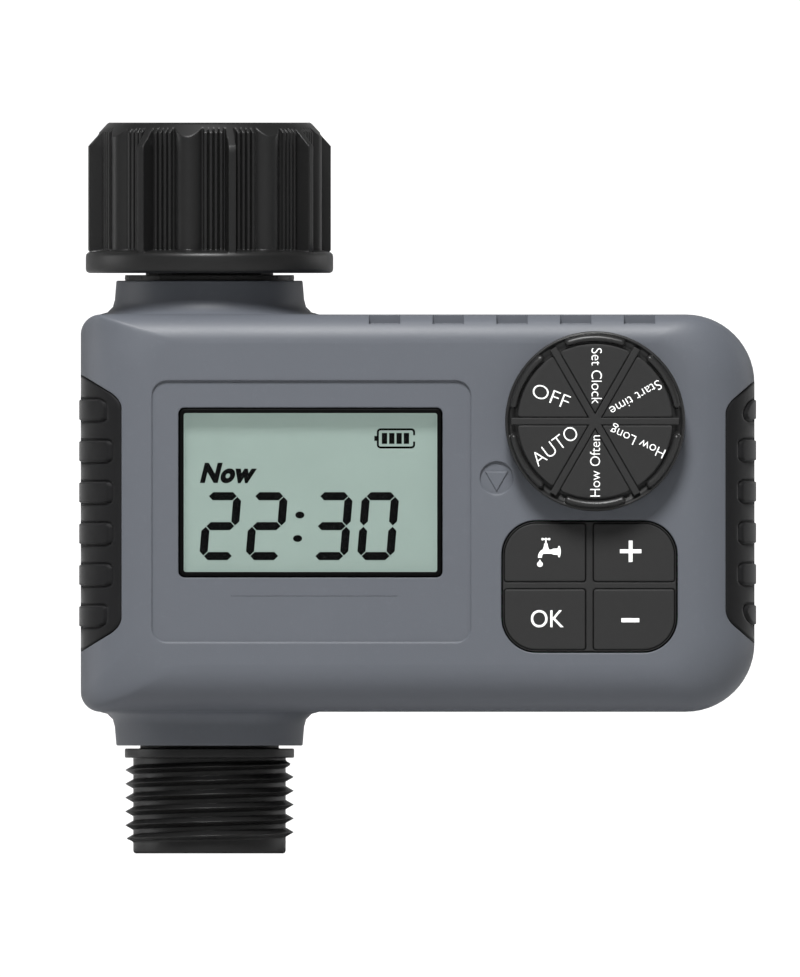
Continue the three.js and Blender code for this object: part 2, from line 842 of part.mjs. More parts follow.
// The strainer cup that hangs in the inlet tube.
function filterScreen() {
  const rimTop = washerBottom - GAP / 3;
  const rimBottom = rimTop - filter.rim;
  const bottom = rimBottom - filter.height;
  const cup = solidOf(
    turned([
      [0, bottom],
      [filter.radius - 1, bottom],
      [filter.radius - 0.4, rimBottom],
      [filter.radius + 1.6, rimBottom],
      [filter.radius + 1.6, rimTop],
      [filter.radius - 0.4 - filter.wall, rimTop],
      [filter.radius - 1 - filter.wall, bottom + filter.wall],
      [0, bottom + filter.wall],
    ]),
  );
  const slots = [];
  for (let i = 0; i < 4; i++) {
    const slot = box(-filter.radius - 1, -0.7, bottom + 1.6, filter.radius + 1, 0.7, rimBottom - 1);
    slots.push(slot.rotate([0, 0, 45 * i]));
  }
  return cut(cup, ...slots);
}

const tubeTop = washerBottom - GAP / 3;
const tubeFlangeBottom = tubeTop - inletTube.flange;
const tubeBottom = tubeFlangeBottom - inletTube.depth;
const ringGrooveDepth = 2 * oRing.section - GAP / 2 + 0.1;

// A groove for an o-ring, as profile points of the outer wall from the top edge to the bottom one.
function groovePoints(radius, middle) {
  const half = oRing.section + GAP / 2;
  return [
    [radius, middle + half],
    [radius - ringGrooveDepth, middle + half],
    [radius - ringGrooveDepth, middle - half],
    [radius, middle - half],
  ];
}

function inletTubeSolid() {
  const seat = filter.radius + 1.6 + GAP;
  return solidOf(
    turned([
      [inletTube.bore, tubeTop - filter.rim - GAP],
      [seat, tubeTop - filter.rim - GAP],
      [seat, tubeTop],
      [nut.boreRadius - 2 * GAP, tubeTop],
      [nut.boreRadius - 2 * GAP, tubeFlangeBottom],
      [inletTube.radius, tubeFlangeBottom],
      ...groovePoints(inletTube.radius, tubeBottom + 3),
      [inletTube.radius, tubeBottom],
      [inletTube.bore, tubeBottom],
    ]),
  );
}

function sealRing(grooveOuter) {
  return solidOf(torus(grooveOuter - ringGrooveDepth + oRing.section + GAP / 2, oRing.section));
}

piece("swivel_nut", swivelNut(), finishes.blackPlastic);
piece(
  "sealing_washer",
  solidOf(ring(washer.holeRadius, nut.boreRadius - GAP, washerBottom, 0)),
  finishes.rubber,
);
piece("filter_screen", filterScreen(), finishes.acetal);
piece("inlet_tube", inletTubeSolid(), finishes.blackPlastic);
piece("inlet_o_ring", sealRing(inletTube.radius), finishes.rubber, group(0, 0, tubeBottom + 3));

// ---------------------------------------------------------------- ball valve
const seatHeight = ball.radius + 2;
const chamberTop = bodyMiddle + seatHeight + GAP;
const socketRadius = inletTube.radius + valve.fit;
const spigotTubeRadius = chamberRadius - GAP;
const valveBottom = collarBottom + GAP;

function valveBody() {
  const outside = solidOf(
    turned([
      [socketRadius, neckTop],
      [neck.radius - 0.3, neckTop],
      [neck.radius, neckTop - 0.2],
      [neck.radius, neckBottom],
      [valveRadius, neckBottom],
      [valveRadius, valveBottom],
      [chamberRadius, valveBottom],
      [chamberRadius, chamberTop],
      [ball.bore + 1, chamberTop],
      [ball.bore + 1, tubeBottom - GAP],
      [socketRadius, tubeBottom - GAP],
    ]),
  );
  const boss = solidOf(alongX(rod(valve.stemBoss, 0, valve.stemBossEnd, 16))).translate([0, 0, bodyMiddle]);
  const chamber = solidOf(rod(chamberRadius, valveBottom - 1, chamberTop, 20));
  const stemHole = solidOf(alongX(rod(stem.radius + GAP, 0, valve.stemBossEnd + 1, 20)));
  const sealRoom = solidOf(alongX(rod(stem.radius + 2 * oRing.section + GAP, valveRadius + 1, REACH, 20)));
  return cut(
    join(outside, boss),
    chamber,
    stemHole.translate([0, 0, bodyMiddle]),
    sealRoom.translate([0, 0, bodyMiddle]),
  );
}

// A seat ring that bears on the ball; end is 1 above the ball and -1 below it.
function seatSolid(end) {
  const touch = (ball.radius + GAP) * 1.01;
  const profile = [];
  const steps = 3;
  for (let i = 0; i <= steps; i++) {
    const angle = THREE.MathUtils.degToRad(57 - 24 * (i / steps));
    profile.push([touch * Math.cos(angle), end * touch * Math.sin(angle)]);
  }
  profile.push([spigotTubeRadius, end * touch * Math.sin(THREE.MathUtils.degToRad(33))]);
  profile.push([spigotTubeRadius, end * seatHeight]);
  profile.push([profile[0][0], end * seatHeight]);
  return solidOf(turned(profile));
}

function ballSolid() {
  const sphere = solidOf(new THREE.SphereGeometry(ball.radius, 24, 12));
  const bore = solidOf(alongY(rod(ball.bore, -REACH, REACH, 16)));
  const slotFloor = ball.radius - ball.slotDepth;
  const slot = box(slotFloor, -ball.slotWidth / 2, -REACH, REACH, ball.slotWidth / 2, REACH);
  return cut(sphere, bore, slot);
}

function stemSolid() {
  const tongueStart = ball.radius - ball.slotDepth + GAP;
  const half = stem.tongue / 2;
  const reach = stem.radius - 0.2;
  const tongue = box(tongueStart, -half, -reach, ball.radius + 2, half, reach);
  const round = solidOf(alongX(rod(stem.radius, ball.radius + GAP, stem.end, 20)));
  const flats = box(gears.outputStart - GAP, -REACH, -stem.radius * 0.75, REACH, REACH, stem.radius * 0.75);
  const drive = box(-REACH, -REACH, -REACH, gears.outputStart - GAP, REACH, REACH).add(flats);
  return join(round.intersect(drive), tongue.intersect(solidOf(alongX(rod(stem.radius, 0, REACH, 20)))));
}

const turnSteps = 16; // facets in one turn of the thread

function outletSpigot() {
  const flangeTop = collarBottom - outlet.neckHeight;
  const flangeBottom = flangeTop - outlet.flangeHeight;
  const threadEnd = flangeBottom - outlet.threadLength;
  const end = threadEnd - outlet.plainEnd;
  const mouthTop = end + outlet.mouthDepth;
  const core = solidOf(
    turned([
      [outlet.boreRadius, bodyMiddle - seatHeight - GAP],
      [spigotTubeRadius, bodyMiddle - seatHeight - GAP],
      ...groovePoints(spigotTubeRadius, collarBottom + 6),
      [spigotTubeRadius, collarBottom],
      [outlet.neckRadius, collarBottom],
      [outlet.neckRadius, flangeTop],
      [outlet.flangeRadius - 0.25, flangeTop],
      [outlet.flangeRadius, flangeTop - 0.25],
      [outlet.flangeRadius, flangeBottom + 0.25],
      [outlet.flangeRadius - 0.25, flangeBottom],
      [outlet.rootRadius, flangeBottom],
      [outlet.rootRadius, end + outlet.tipChamfer],
      [outlet.rootRadius - outlet.tipChamfer, end],
      [outlet.mouthRadius, end],
      [outlet.mouthRadius, mouthTop],
      [outlet.boreRadius, mouthTop + 2],
    ], turnSteps),
  );
  return core.add(threadRidge(threadEnd + outlet.pitch / 3, flangeBottom - outlet.pitch / 3));
}

// A right-hand ridge that climbs from low to high: its section, carried round the axis one pitch a turn.
function threadRidge(low, high) {
  const steps = Math.round((turnSteps * (high - low)) / outlet.pitch);
  const embed = 0.4;
  const positions = [];
  const index = [];
  for (let i = 0; i <= steps; i++) {
    const angle = (2 * Math.PI * i) / turnSteps;
    const middle = low + (outlet.pitch * i) / turnSteps;
    const runOut = Math.min(1, (i + 0.5) / 6, (steps - i + 0.5) / 6);
    const crest = outlet.rootRadius + (outlet.threadRadius - outlet.rootRadius) * runOut;
    const section = [
      [outlet.rootRadius - embed, -outlet.pitch / 3],
      [crest, -outlet.pitch / 30],
      [crest, outlet.pitch / 30],
      [outlet.rootRadius - embed, outlet.pitch / 3],
    ];
    for (const [radius, height] of section) {
      positions.push(radius * Math.cos(angle), radius * Math.sin(angle), middle + height);
    }
  }
  for (let i = 0; i < steps; i++) {
    for (let j = 0; j < 4; j++) {
      const [a, b] = [4 * i + j, 4 * i + ((j + 1) % 4)];
      index.push(a, a + 4, b, b, a + 4, b + 4);
    }
  }
  const last = 4 * steps;
  index.push(0, 1, 2, 0, 2, 3, last, last + 2, last + 1, last, last + 3, last + 2);
  const geometry = new THREE.BufferGeometry();
  geometry.setAttribute("position", new THREE.Float32BufferAttribute(positions, 3));
  geometry.setIndex(index);
  return solidOf(geometry);
}

piece("valve_body", valveBody(), finishes.blackPlastic);
piece("outlet_spigot", outletSpigot(), finishes.blackPlastic);
piece("outlet_o_ring", sealRing(spigotTubeRadius), finishes.rubber, group(0, 0, collarBottom + 6));
const ballGroup = group(0, 0, bodyMiddle);
piece("inlet_seat", seatSolid(1), finishes.acetal, ballGroup);
piece("outlet_seat", seatSolid(-1), finishes.acetal, ballGroup);
piece("valve_ball", ballSolid(), finishes.whitePlastic, ballGroup);
piece("valve_stem", stemSolid(), finishes.brass, ballGroup);
const stemRing = solidOf(alongX(torus(stem.radius + oRing.section + GAP / 2, oRing.section, 0, 12)));
piece("stem_o_ring", stemRing, finishes.rubber, group(valve.stemBossEnd - 2, 0, bodyMiddle));

// ---------------------------------------------------------------- gear train and motor
const pinionPitch = (gears.firstModule * gears.pinionTeeth) / 2;
const wheelPitch = (gears.firstModule * gears.wheelTeeth) / 2;
const smallPitch = (gears.lastModule * gears.pinionTeeth) / 2;
const outputPitch = (gears.lastModule * gears.outputTeeth) / 2;
const outputToIdler = outputPitch + smallPitch;
const idlerToMotor = wheelPitch + pinionPitch;
const idlerY = gears.idlerBack;
const idlerZ = Math.sqrt(outputToIdler ** 2 - idlerY ** 2);
const motorY = gears.motorBack;
const motorZ = idlerZ - Math.sqrt(idlerToMotor ** 2 - (motorY - idlerY) ** 2);
const idlerBearing = Math.atan2(idlerZ, idlerY);
const motorBearing = Math.atan2(motorZ - idlerZ, motorY - idlerY);

// An external gear about X drawn in Y and Z, with involute flanks. One tooth points along the bearing,
// or one gap does when half a tooth is added.
function gearOutline(module, teeth, bearing) {
  const pitchRadius = (module * teeth) / 2;
  const baseRadius = pitchRadius * Math.cos(THREE.MathUtils.degToRad(20));
  const tipRadius = pitchRadius + module;
  const footRadius = pitchRadius - 1.25 * module;
  const involute = (radius) => {
    const t = Math.sqrt(Math.max((radius / baseRadius) ** 2 - 1, 0));
    return t - Math.atan(t);
  };
  const halfTooth = Math.PI / (2 * teeth) - gears.backlash / (2 * pitchRadius) + involute(pitchRadius);
  const half = [footRadius, tipRadius].map((radius) => [radius, halfTooth - involute(radius)]);
  const shape = new THREE.Shape();
  for (let i = 0; i < teeth; i++) {
    const centre = bearing + (2 * Math.PI * i) / teeth;
    const tooth = [
      ...half.map(([radius, angle]) => [radius, centre - angle]),
      ...half.map(([radius, angle]) => [radius, centre + angle]).reverse(),
    ];
    for (const [radius, angle] of tooth) {
      const [a, b] = [radius * Math.cos(angle), radius * Math.sin(angle)];
      if (shape.curves.length === 0 && shape.currentPoint.length() === 0) shape.moveTo(a, b);
      else shape.lineTo(a, b);
    }
  }
  return shape;
}

function gearSolid(module, teeth, bearing, left, right) {
  return crossPrism(gearOutline(module, teeth, bearing), left, right);
}

function xRod(radius, left, right, segments = 20) {
  return solidOf(alongX(rod(radius, left, right, segments)));
}

const outputEnd = gears.outputStart + gears.face;
const wheelEnd = gears.wheelStart + gears.wheelFace;
const coverStart = gears.caseEnd - gears.wall;

function outputGear() {
  const wheel = gearSolid(gears.lastModule, gears.outputTeeth, idlerBearing, gears.outputStart, outputEnd);
  const flat = stem.radius * 0.75 + GAP;
  const drive = xRod(stem.radius + GAP, 0, REACH).intersect(box(-REACH, -REACH, -flat, REACH, REACH, flat));
  return wheel.subtract(drive);
}

function idlerGear() {
  const small = gearSolid(
    gears.lastModule,
    gears.pinionTeeth,
    idlerBearing + Math.PI + Math.PI / gears.pinionTeeth,
    gears.outputStart,
    gears.wheelStart + 0.5,
  );
  const large = gearSolid(gears.firstModule, gears.wheelTeeth, motorBearing, gears.wheelStart, wheelEnd);
  return join(small, large).subtract(xRod(gears.pinRadius + GAP, 0, REACH, 16));
}

function motorPinion() {
  const bearing = motorBearing + Math.PI + Math.PI / gears.pinionTeeth;
  const left = gears.wheelStart - 0.2;
  const teeth = gearSolid(gears.firstModule, gears.pinionTeeth, bearing, left, wheelEnd + 0.4);
  return teeth.subtract(xRod(motor.shaftRadius + GAP / 2, 0, REACH, 12));
}

const gearRoom = {
  y0: -(outputPitch + gears.lastModule + 2 * GAP),
  y1: idlerY + wheelPitch + gears.firstModule + 2 * GAP,
  z0: -(outputPitch + gears.lastModule + 2 * GAP),
  z1: idlerZ + wheelPitch + gears.firstModule + 2 * GAP,
};

function gearRoomPrism(grow, left, right) {
  const radius = outputPitch / 2 + grow;
  const radii = [radius, radius, radius, radius];
  const { y0, y1, z0, z1 } = gearRoom;
  return crossPrism(roundedRectangle(y0 - grow, z0 - grow, y1 + grow, z1 + grow, radii), left, right, 4);
}

function gearboxCase() {
  const stemHole = xRod(stem.radius + GAP, 0, REACH);
  const pinHole = xRod(gears.pinRadius + GAP, 0, REACH, 16).translate([0, idlerY, idlerZ]);
  const shell = gearRoomPrism(gears.wall, gears.caseStart, coverStart - GAP);
  return cut(shell, gearRoomPrism(0, gears.caseStart + gears.wall, REACH), stemHole, pinHole);
}

function gearboxCover() {
  const pinHole = xRod(gears.pinRadius + GAP, 0, REACH, 16).translate([0, idlerY, idlerZ]);
  const motorHole = xRod(motor.shaftRadius + 2 * GAP, 0, REACH, 16).translate([0, motorY, motorZ]);
  return cut(gearRoomPrism(gears.wall, coverStart, gears.caseEnd), pinHole, motorHole);
}

function motorCan() {
  const start = gears.caseEnd + GAP;
  const round = xRod(motor.radius, start, start + motor.length, 20);
  const flats = box(0, -REACH, -motor.flat, REACH, REACH, motor.flat);
  return round.intersect(flats).subtract(xRod(motor.shaftRadius + GAP, 0, REACH, 12));
}

piece("gearbox_case", gearboxCase(), finishes.whitePlastic, ballGroup);
piece("gearbox_cover", gearboxCover(), finishes.whitePlastic, ballGroup);
piece("output_gear", outputGear(), finishes.acetal, ballGroup);
const idlerGroup = group(0, idlerY, idlerZ, ballGroup);
const motorGroup = group(0, motorY, motorZ, ballGroup);
piece("idler_gear", idlerGear(), finishes.acetal, idlerGroup);
piece("idler_pin", xRod(gears.pinRadius, gears.caseStart, gears.caseEnd, 16), finishes.steel, idlerGroup);
piece("motor_pinion", motorPinion(), finishes.brass, motorGroup);
const shaftEnd = gears.caseEnd + GAP + motor.length + 1;
const shaftStart = gears.wheelStart - 0.4;
piece("motor_shaft", xRod(motor.shaftRadius, shaftStart, shaftEnd, 12), finishes.steel, motorGroup);
piece("motor_can", motorCan(), finishes.steel, motorGroup);

// ---------------------------------------------------------------- display stack
const flangeFront = innerFront + GAP / 2;
const flangeBack = flangeFront + 1;
const lip = 0.4;

function displayPlate(shrink, front, back, corner = 0.5) {
  const [width, height] = [display.width - 2 * shrink, display.height - 2 * shrink];
  const shape = centredRectangle(displayX, displayZ, width, height, corner);
  return facePlate(shape, front, back, 3);
}

function displayBezel() {
  const frame = displayPlate(0, body.front + display.recessDepth / 2, flangeBack, display.corner);
  const flange = displayPlate(-1.2, flangeFront, flangeBack, 1);
  const windowRoom = displayPlate(display.border, body.front - 1, flangeFront, 0.3);
  const sight = displayPlate(display.border + lip, body.front - 1, flangeBack + 1, 0.3);
  return cut(join(frame, flange), windowRoom, sight);
}

const windowBack = flangeFront - GAP / 2;
const lcdFront = flangeBack + GAP;
const lcdBack = lcdFront + display.lcdThickness;
piece("display_bezel", displayBezel(), finishes.blackPlastic);
piece(
  "display_window",
  displayPlate(display.border + GAP / 2, windowBack - display.windowThickness, windowBack, 0.3),
  finishes.clear,
);
piece("lcd_panel", displayPlate(-0.6, lcdFront, lcdBack), finishes.lcd);
const stripHeight = 2.4;
const stripZ = displayZ - display.height / 2 + stripHeight / 2;
const stripHalf = display.width * 0.45;
piece(
  "lcd_connector",
  box(
    displayX - stripHalf,
    lcdBack + GAP / 2,
    stripZ - stripHeight / 2,
    displayX + stripHalf,
    boardFront - GAP / 2,
    stripZ + stripHeight / 2,
  ),
  finishes.rubber,
);

// ---------------------------------------------------------------- circuit board
function circuitBoard() {
  const plate = facePlate(
    roundedRectangle(boardLeft, boardBottom, boardRight, boardTop, [1, 4, 4, 1]),
    boardFront,
    boardBack,
  );
  const holes = boardScrewPlaces.map(([x, z]) =>
    rodAlongY(boardScrew.shank + GAP, x, z, boardFront - 1, boardBack + 1, 8),
  );
  return cut(plate, ...holes);
}

piece("circuit_board", circuitBoard(), finishes.boardGreen);
boardScrewPlaces.forEach(([x, z], i) => {
  const solid = screwSolid(boardScrew.shank, boardScrew.head, boardScrew.headHeight, boardScrew.length);
  piece("board_screw_" + (i + 1), solid, finishes.steel, group(x, boardBack + GAP / 3, z));
});

// ---------------------------------------------------------------- selector dial
const dialGroup = group(dialX, 0, dialZ);
const discBack = dialFace + dial.discDepth;
const switchFront = innerFront + dial.bossDepth + 2 * GAP;
const shaftFront = discBack + GAP + 0.4;
const shaftFlat = dial.shaftRadius * 0.7;

function localRod(radius, front, back, segments) {
  return rodAlongY(radius, 0, 0, front, back, segments);
}

// A raised arc between two radii, round-cornered by its arcs.
function fingerGrip(angle) {
  const half = THREE.MathUtils.degToRad(dial.gripHalfAngle);
  const centre = THREE.MathUtils.degToRad(angle);
  const shape = new THREE.Shape();
  shape.absarc(0, 0, dial.gripOuter, centre - half, centre + half, false);
  shape.absarc(0, 0, dial.gripInner, centre + half, centre - half, true);
  return facePlate(shape, dialFace - dial.gripHeight, dialFace + 0.5, 4);
}

function shaftRod(radius, flat, front, back) {
  return localRod(radius, front, back, 20).intersect(box(-REACH, -REACH, -REACH, REACH, REACH, flat));
}

function dialKnob() {
  const blank = solidOf(
    alongY(
      turned([
        [0, dialFace],
        [dial.radius - 0.6, dialFace],
        [dial.radius, dialFace + 0.8],
        [dial.radius, dialBack],
        [0, dialBack],
      ], 24),
    ),
  );
  const grips = [];
  for (let i = 0; i < dial.positions; i++) grips.push(fingerGrip(30 + (i * 360) / dial.positions));
  const discRoom = localRod(dial.discRadius + GAP / 2, dialFace - 2, discBack, 24);
  const shaftRoom = shaftRod(dial.shaftRadius + GAP / 2, shaftFlat + GAP / 2, discBack + 0.4, dialBack + 1);
  return cut(join(blank, ...grips), discRoom, shaftRoom);
}

function dialDisc() {
  const disc = localRod(dial.discRadius, dialFace + 0.1, discBack - GAP / 3, 24);
  const spokes = [];
  for (let i = 0; i < dial.positions; i++) {
    const spoke = box(
      dial.spokeInner,
      dialFace + 0.1 - dial.spokeHeight,
      -dial.spokeWidth / 2,
      dial.discRadius - 0.1,
      dialFace + 0.5,
      dial.spokeWidth / 2,
    );
    spokes.push(spoke.rotate([0, (i * 360) / dial.positions, 0]));
  }
  return join(disc, ...spokes);
}

function dialShaft() {
  const flat = shaftRod(dial.shaftRadius, shaftFlat, shaftFront, dialBack + GAP);
  const round = localRod(dial.shaftRadius, dialBack + GAP / 2, boardFront - 2 * GAP, 16);
  return join(flat, round);
}

piece("dial_knob", dialKnob(), finishes.dialPlastic, dialGroup);
piece("dial_label_disc", dialDisc(), finishes.label, dialGroup);
piece("dial_shaft", dialShaft(), finishes.acetal, dialGroup);
const sealPlace = innerFront + oRing.section + GAP;
piece(
  "dial_seal",
  solidOf(alongY(torus(dial.shaftRadius + oRing.section + GAP / 2, oRing.section, sealPlace, 12))),
  finishes.rubber,
  dialGroup,
);
const switchHalf = 6.5;
const switchBody = facePlate(
  centredRectangle(0, 0, 2 * switchHalf, 2 * switchHalf, 1),
  switchFront,
  boardFront - GAP / 2,
);
piece(
  "rotary_switch",
  switchBody.subtract(localRod(dial.shaftRadius + GAP, -REACH, REACH, 20)),
  finishes.whitePlastic,
  dialGroup,
);

// ---------------------------------------------------------------- keypad
const keyGroup = group(keypadX, 0, keypadZ);
const keyFront = body.front - keypad.proud;
const frameBack = body.front + keypad.frameDepth;
const keyFlangeFront = frameBack + GAP / 2;
const keyFlangeBack = keyFlangeFront + keypad.flangeDepth;
const keyRows = {
  top: (keypadHeight - keypad.bar - 2 * keypad.rim) * keypad.topShare,
  bottom: (keypadHeight - keypad.bar - 2 * keypad.rim) * (1 - keypad.topShare),
};
const keyPocketWidth = (keypad.width - keypad.bar - 2 * keypad.rim) / 2;

// The pocket of one key: side is -1 left and 1 right, row is top or bottom. Grow is negative for
// the key itself.
function keyOutline(side, row, grow, sharp = 0.8) {
  const inner = (side * keypad.bar) / 2;
  const outer = inner + side * keyPocketWidth;
  const barMiddle = keypadHeight / 2 - keypad.rim - keyRows.top - keypad.bar / 2;
  const up = row === "top" ? 1 : -1;
  const low = barMiddle + (up * keypad.bar) / 2;
  const high = low + up * keyRows[row];
  const [x0, x1] = [Math.min(inner, outer) - grow, Math.max(inner, outer) + grow];
  const [z0, z1] = [Math.min(low, high) - grow, Math.max(low, high) + grow];
  const round = keypad.corner - keypad.rim + grow;
  const radiusAt = (right, top) => (right === side > 0 && top === up > 0 ? round : sharp + grow);
  const radii = [radiusAt(false, false), radiusAt(true, false), radiusAt(true, true), radiusAt(false, true)];
  return roundedRectangle(x0, z0, x1, z1, radii);
}

const keys = {
  key_manual: [-1, "top"],
  key_plus: [1, "top"],
  key_ok: [-1, "bottom"],
  key_minus: [1, "bottom"],
};

function keyFrame() {
  const outline = centredRectangle(0, 0, keypad.width, keypadHeight, keypad.corner);
  const plate = facePlate(outline, body.front, frameBack);
  const flangeOuter = centredRectangle(0, 0, keypad.width + 3, keypadHeight + 2.4, keypad.corner + 1);
  const skirt = facePlate(outline, frameBack - 0.1, innerFront + 1.2);
  const flange = facePlate(flangeOuter, innerFront + GAP / 2, innerFront + 1.2);
  const room = facePlate(
    centredRectangle(0, 0, keypad.width - 1.1, keypadHeight - 1.1, keypad.corner - 0.5),
    frameBack,
    REACH,
  );
  const pockets = Object.values(keys).map(([side, row]) =>
    facePlate(keyOutline(side, row, 0), -REACH, REACH),
  );
  return cut(join(plate, skirt, flange), room, ...pockets);
}

function keySolid(side, row) {
  const cap = facePlate(keyOutline(side, row, -keypad.clearance), keyFront, keyFlangeBack);
  const flange = facePlate(keyOutline(side, row, keypad.flange), keyFlangeFront, keyFlangeBack);
  const inside = facePlate(
    centredRectangle(0, 0, keypad.width - 1.5, keypadHeight - 1.5, keypad.corner - 0.8),
    keyFlangeFront - 1,
    REACH,
  );
  return join(cap, flange.intersect(inside));
}

const matFront = boardFront - 1.5;
const domeHeight = matFront - keyFlangeBack - keypad.travel - GAP;

function keypadMat() {
  const sheet = facePlate(
    centredRectangle(0, 0, keypad.width, keypadHeight, 1),
    matFront,
    boardFront - GAP / 2,
  );
  const domes = Object.values(keys).map(([side, row]) => {
    const x = (side * (keyPocketWidth + keypad.bar)) / 2;
    const z = (row === "top" ? 1 : -1) * (keyRows[row] + keypad.bar) * 0.5;
    const [tip, foot] = [matFront - domeHeight, matFront + 0.2];
    const dome = turned([[0, tip], [2, tip], [3, foot], [0, foot]], 16);
    return solidOf(alongY(dome)).translate([x, 0, z]);
  });
  return join(sheet, ...domes);
}

piece("key_frame", keyFrame(), finishes.blackPlastic, keyGroup);
for (const [name, [side, row]] of Object.entries(keys)) {
  piece(name, keySolid(side, row), finishes.dialPlastic, keyGroup);
}
piece("keypad_mat", keypadMat(), finishes.rubber, keyGroup);

export default root;
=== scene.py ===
"""Looks of a drip irrigation timer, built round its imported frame.

Pieces are worked out in millimetres and put into their meshes in metres, in the frame's own axes: X to the
right of the face, Y from the face to the back, Z up, with the tap seat at the origin.
"""

import json
import math

import bmesh
import bpy
import numpy as np
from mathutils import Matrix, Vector
from mathutils.geometry import tessellate_polygon

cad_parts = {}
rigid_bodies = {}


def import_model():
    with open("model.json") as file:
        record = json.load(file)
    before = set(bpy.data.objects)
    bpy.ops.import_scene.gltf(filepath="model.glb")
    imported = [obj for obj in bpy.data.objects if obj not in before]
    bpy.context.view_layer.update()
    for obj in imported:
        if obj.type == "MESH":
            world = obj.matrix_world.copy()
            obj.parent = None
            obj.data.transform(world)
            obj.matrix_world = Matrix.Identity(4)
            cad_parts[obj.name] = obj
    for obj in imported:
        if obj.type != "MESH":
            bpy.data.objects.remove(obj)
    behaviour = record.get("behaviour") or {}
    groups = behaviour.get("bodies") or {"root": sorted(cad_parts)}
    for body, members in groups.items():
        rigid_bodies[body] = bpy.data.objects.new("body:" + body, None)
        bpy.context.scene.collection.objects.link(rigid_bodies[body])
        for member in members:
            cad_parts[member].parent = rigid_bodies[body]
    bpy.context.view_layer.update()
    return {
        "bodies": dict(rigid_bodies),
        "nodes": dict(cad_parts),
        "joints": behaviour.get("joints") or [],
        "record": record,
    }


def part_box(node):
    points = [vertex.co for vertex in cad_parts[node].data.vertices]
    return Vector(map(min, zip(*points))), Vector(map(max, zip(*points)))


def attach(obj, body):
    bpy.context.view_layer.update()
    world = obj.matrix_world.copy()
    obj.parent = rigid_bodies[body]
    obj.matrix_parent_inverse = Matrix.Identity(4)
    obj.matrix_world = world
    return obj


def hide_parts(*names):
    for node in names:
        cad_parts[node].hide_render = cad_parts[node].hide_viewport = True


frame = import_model()

MM = 0.001
TAU = 2 * math.pi


def box_mm(node):
    """Lowest and highest corner of a node, in millimetres."""
    return [np.array(corner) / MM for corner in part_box(node)]


# ------------------------------------------------------------------ shared sizes, millimetres
FRONT_LO, FRONT_HI = box_mm("front_housing")
COLLAR_HEIGHT = 5.4
COLLAR_TIP, COLLAR_BASE, COLLAR_FILLET = 14.9, 15.15, 2.4
LEFT, RIGHT = FRONT_LO[0], FRONT_HI[0]
TOP, BOTTOM = FRONT_HI[2] - COLLAR_HEIGHT, FRONT_LO[2] + COLLAR_HEIGHT
FACE = FRONT_LO[1]
SEAM = 0.1
WALL = 2.2
CORNER_LEFT, CORNER_RIGHT = 3.2, 11.0
ROUND_SIDE, ROUND_TOP, ROUND_BOTTOM = 11.0, 4.6, 7.5
FACE_CORNER = 6.0  # radius of every corner where the rounding has reached the flat face
HOSE_PITCH = 2.209


# ------------------------------------------------------------------ mesh building
class Build:
    """Collects rings of points and the faces between them, then makes one object of them."""

    def __init__(self):
        self.points = []
        self.faces = []
        self.count = 0

    def add(self, xyz):
        """Adds an array of points and returns their numbers, in the array's own shape."""
        xyz = np.asarray(xyz, float)
        flat = xyz.reshape(-1, 3)
        numbers = np.arange(self.count, self.count + len(flat)).reshape(xyz.shape[:-1])
        self.points.append(flat)
        self.count += len(flat)
        return numbers

    def grid(self, numbers, close_rows=False, close_columns=False):
        """Quads over a grid of point numbers; a closed direction joins its last line to its first."""
        if close_rows:
            numbers = np.vstack([numbers, numbers[:1]])
        if close_columns:
            numbers = np.hstack([numbers, numbers[:, :1]])
        quads = np.stack(
            [numbers[:-1, :-1], numbers[:-1, 1:], numbers[1:, 1:], numbers[1:, :-1]], -1
        )
        self.faces += quads.reshape(-1, 4).tolist()

    def cap(self, outer, *holes):
        """Fills a flat outline, less its holes, with triangles between the points that are there."""
        everything = np.concatenate(self.points)
        loops = [[Vector(everything[n]) for n in loop] for loop in (outer, *holes)]
        numbers = np.concatenate([outer, *holes])
        self.faces += [[int(numbers[i]) for i in tri] for tri in tessellate_polygon(loops)]

    def mesh(self, name):
        """The mesh: doubles merged, needle faces dropped, faces turned outwards."""
        mesh = bpy.data.meshes.new(name)
        mesh.from_pydata((np.concatenate(self.points) * MM).tolist(), [], self.faces)
        work = bmesh.new()
        work.from_mesh(mesh)
        bmesh.ops.remove_doubles(work, verts=work.verts, dist=1e-7)
        bmesh.ops.dissolve_degenerate(work, edges=work.edges, dist=1e-8)
        bmesh.ops.recalc_face_normals(work, faces=work.faces)
        work.to_mesh(mesh)
        work.free()
        return mesh

    def piece(self, name, material, body, replaces=(), sharp=32):
        """The finished object."""
        return place(name, self.mesh(name), material, body, replaces, sharp)


def place(name, mesh, material, body, replaces=(), sharp=32):
    """Gives a mesh its material and its object, and makes it ride on its body."""
    mesh.materials.clear()
    mesh.materials.append(material)
    mesh.polygons.foreach_set("use_smooth", [True] * len(mesh.polygons))
    mesh.set_sharp_from_angle(angle=math.radians(sharp))
    made = bpy.data.objects.new(name, mesh)
    bpy.context.scene.collection.objects.link(made)
    normals = made.modifiers.new("flat faces", "WEIGHTED_NORMAL")
    normals.keep_sharp = True
    normals.weight = 80
    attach(made, body)
    if replaces:
        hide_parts(*replaces)
    return made


def arc(start, end, steps):
    """Angles from start to end in degrees, both included, in radians."""
    return np.radians(np.linspace(start, end, steps + 1))


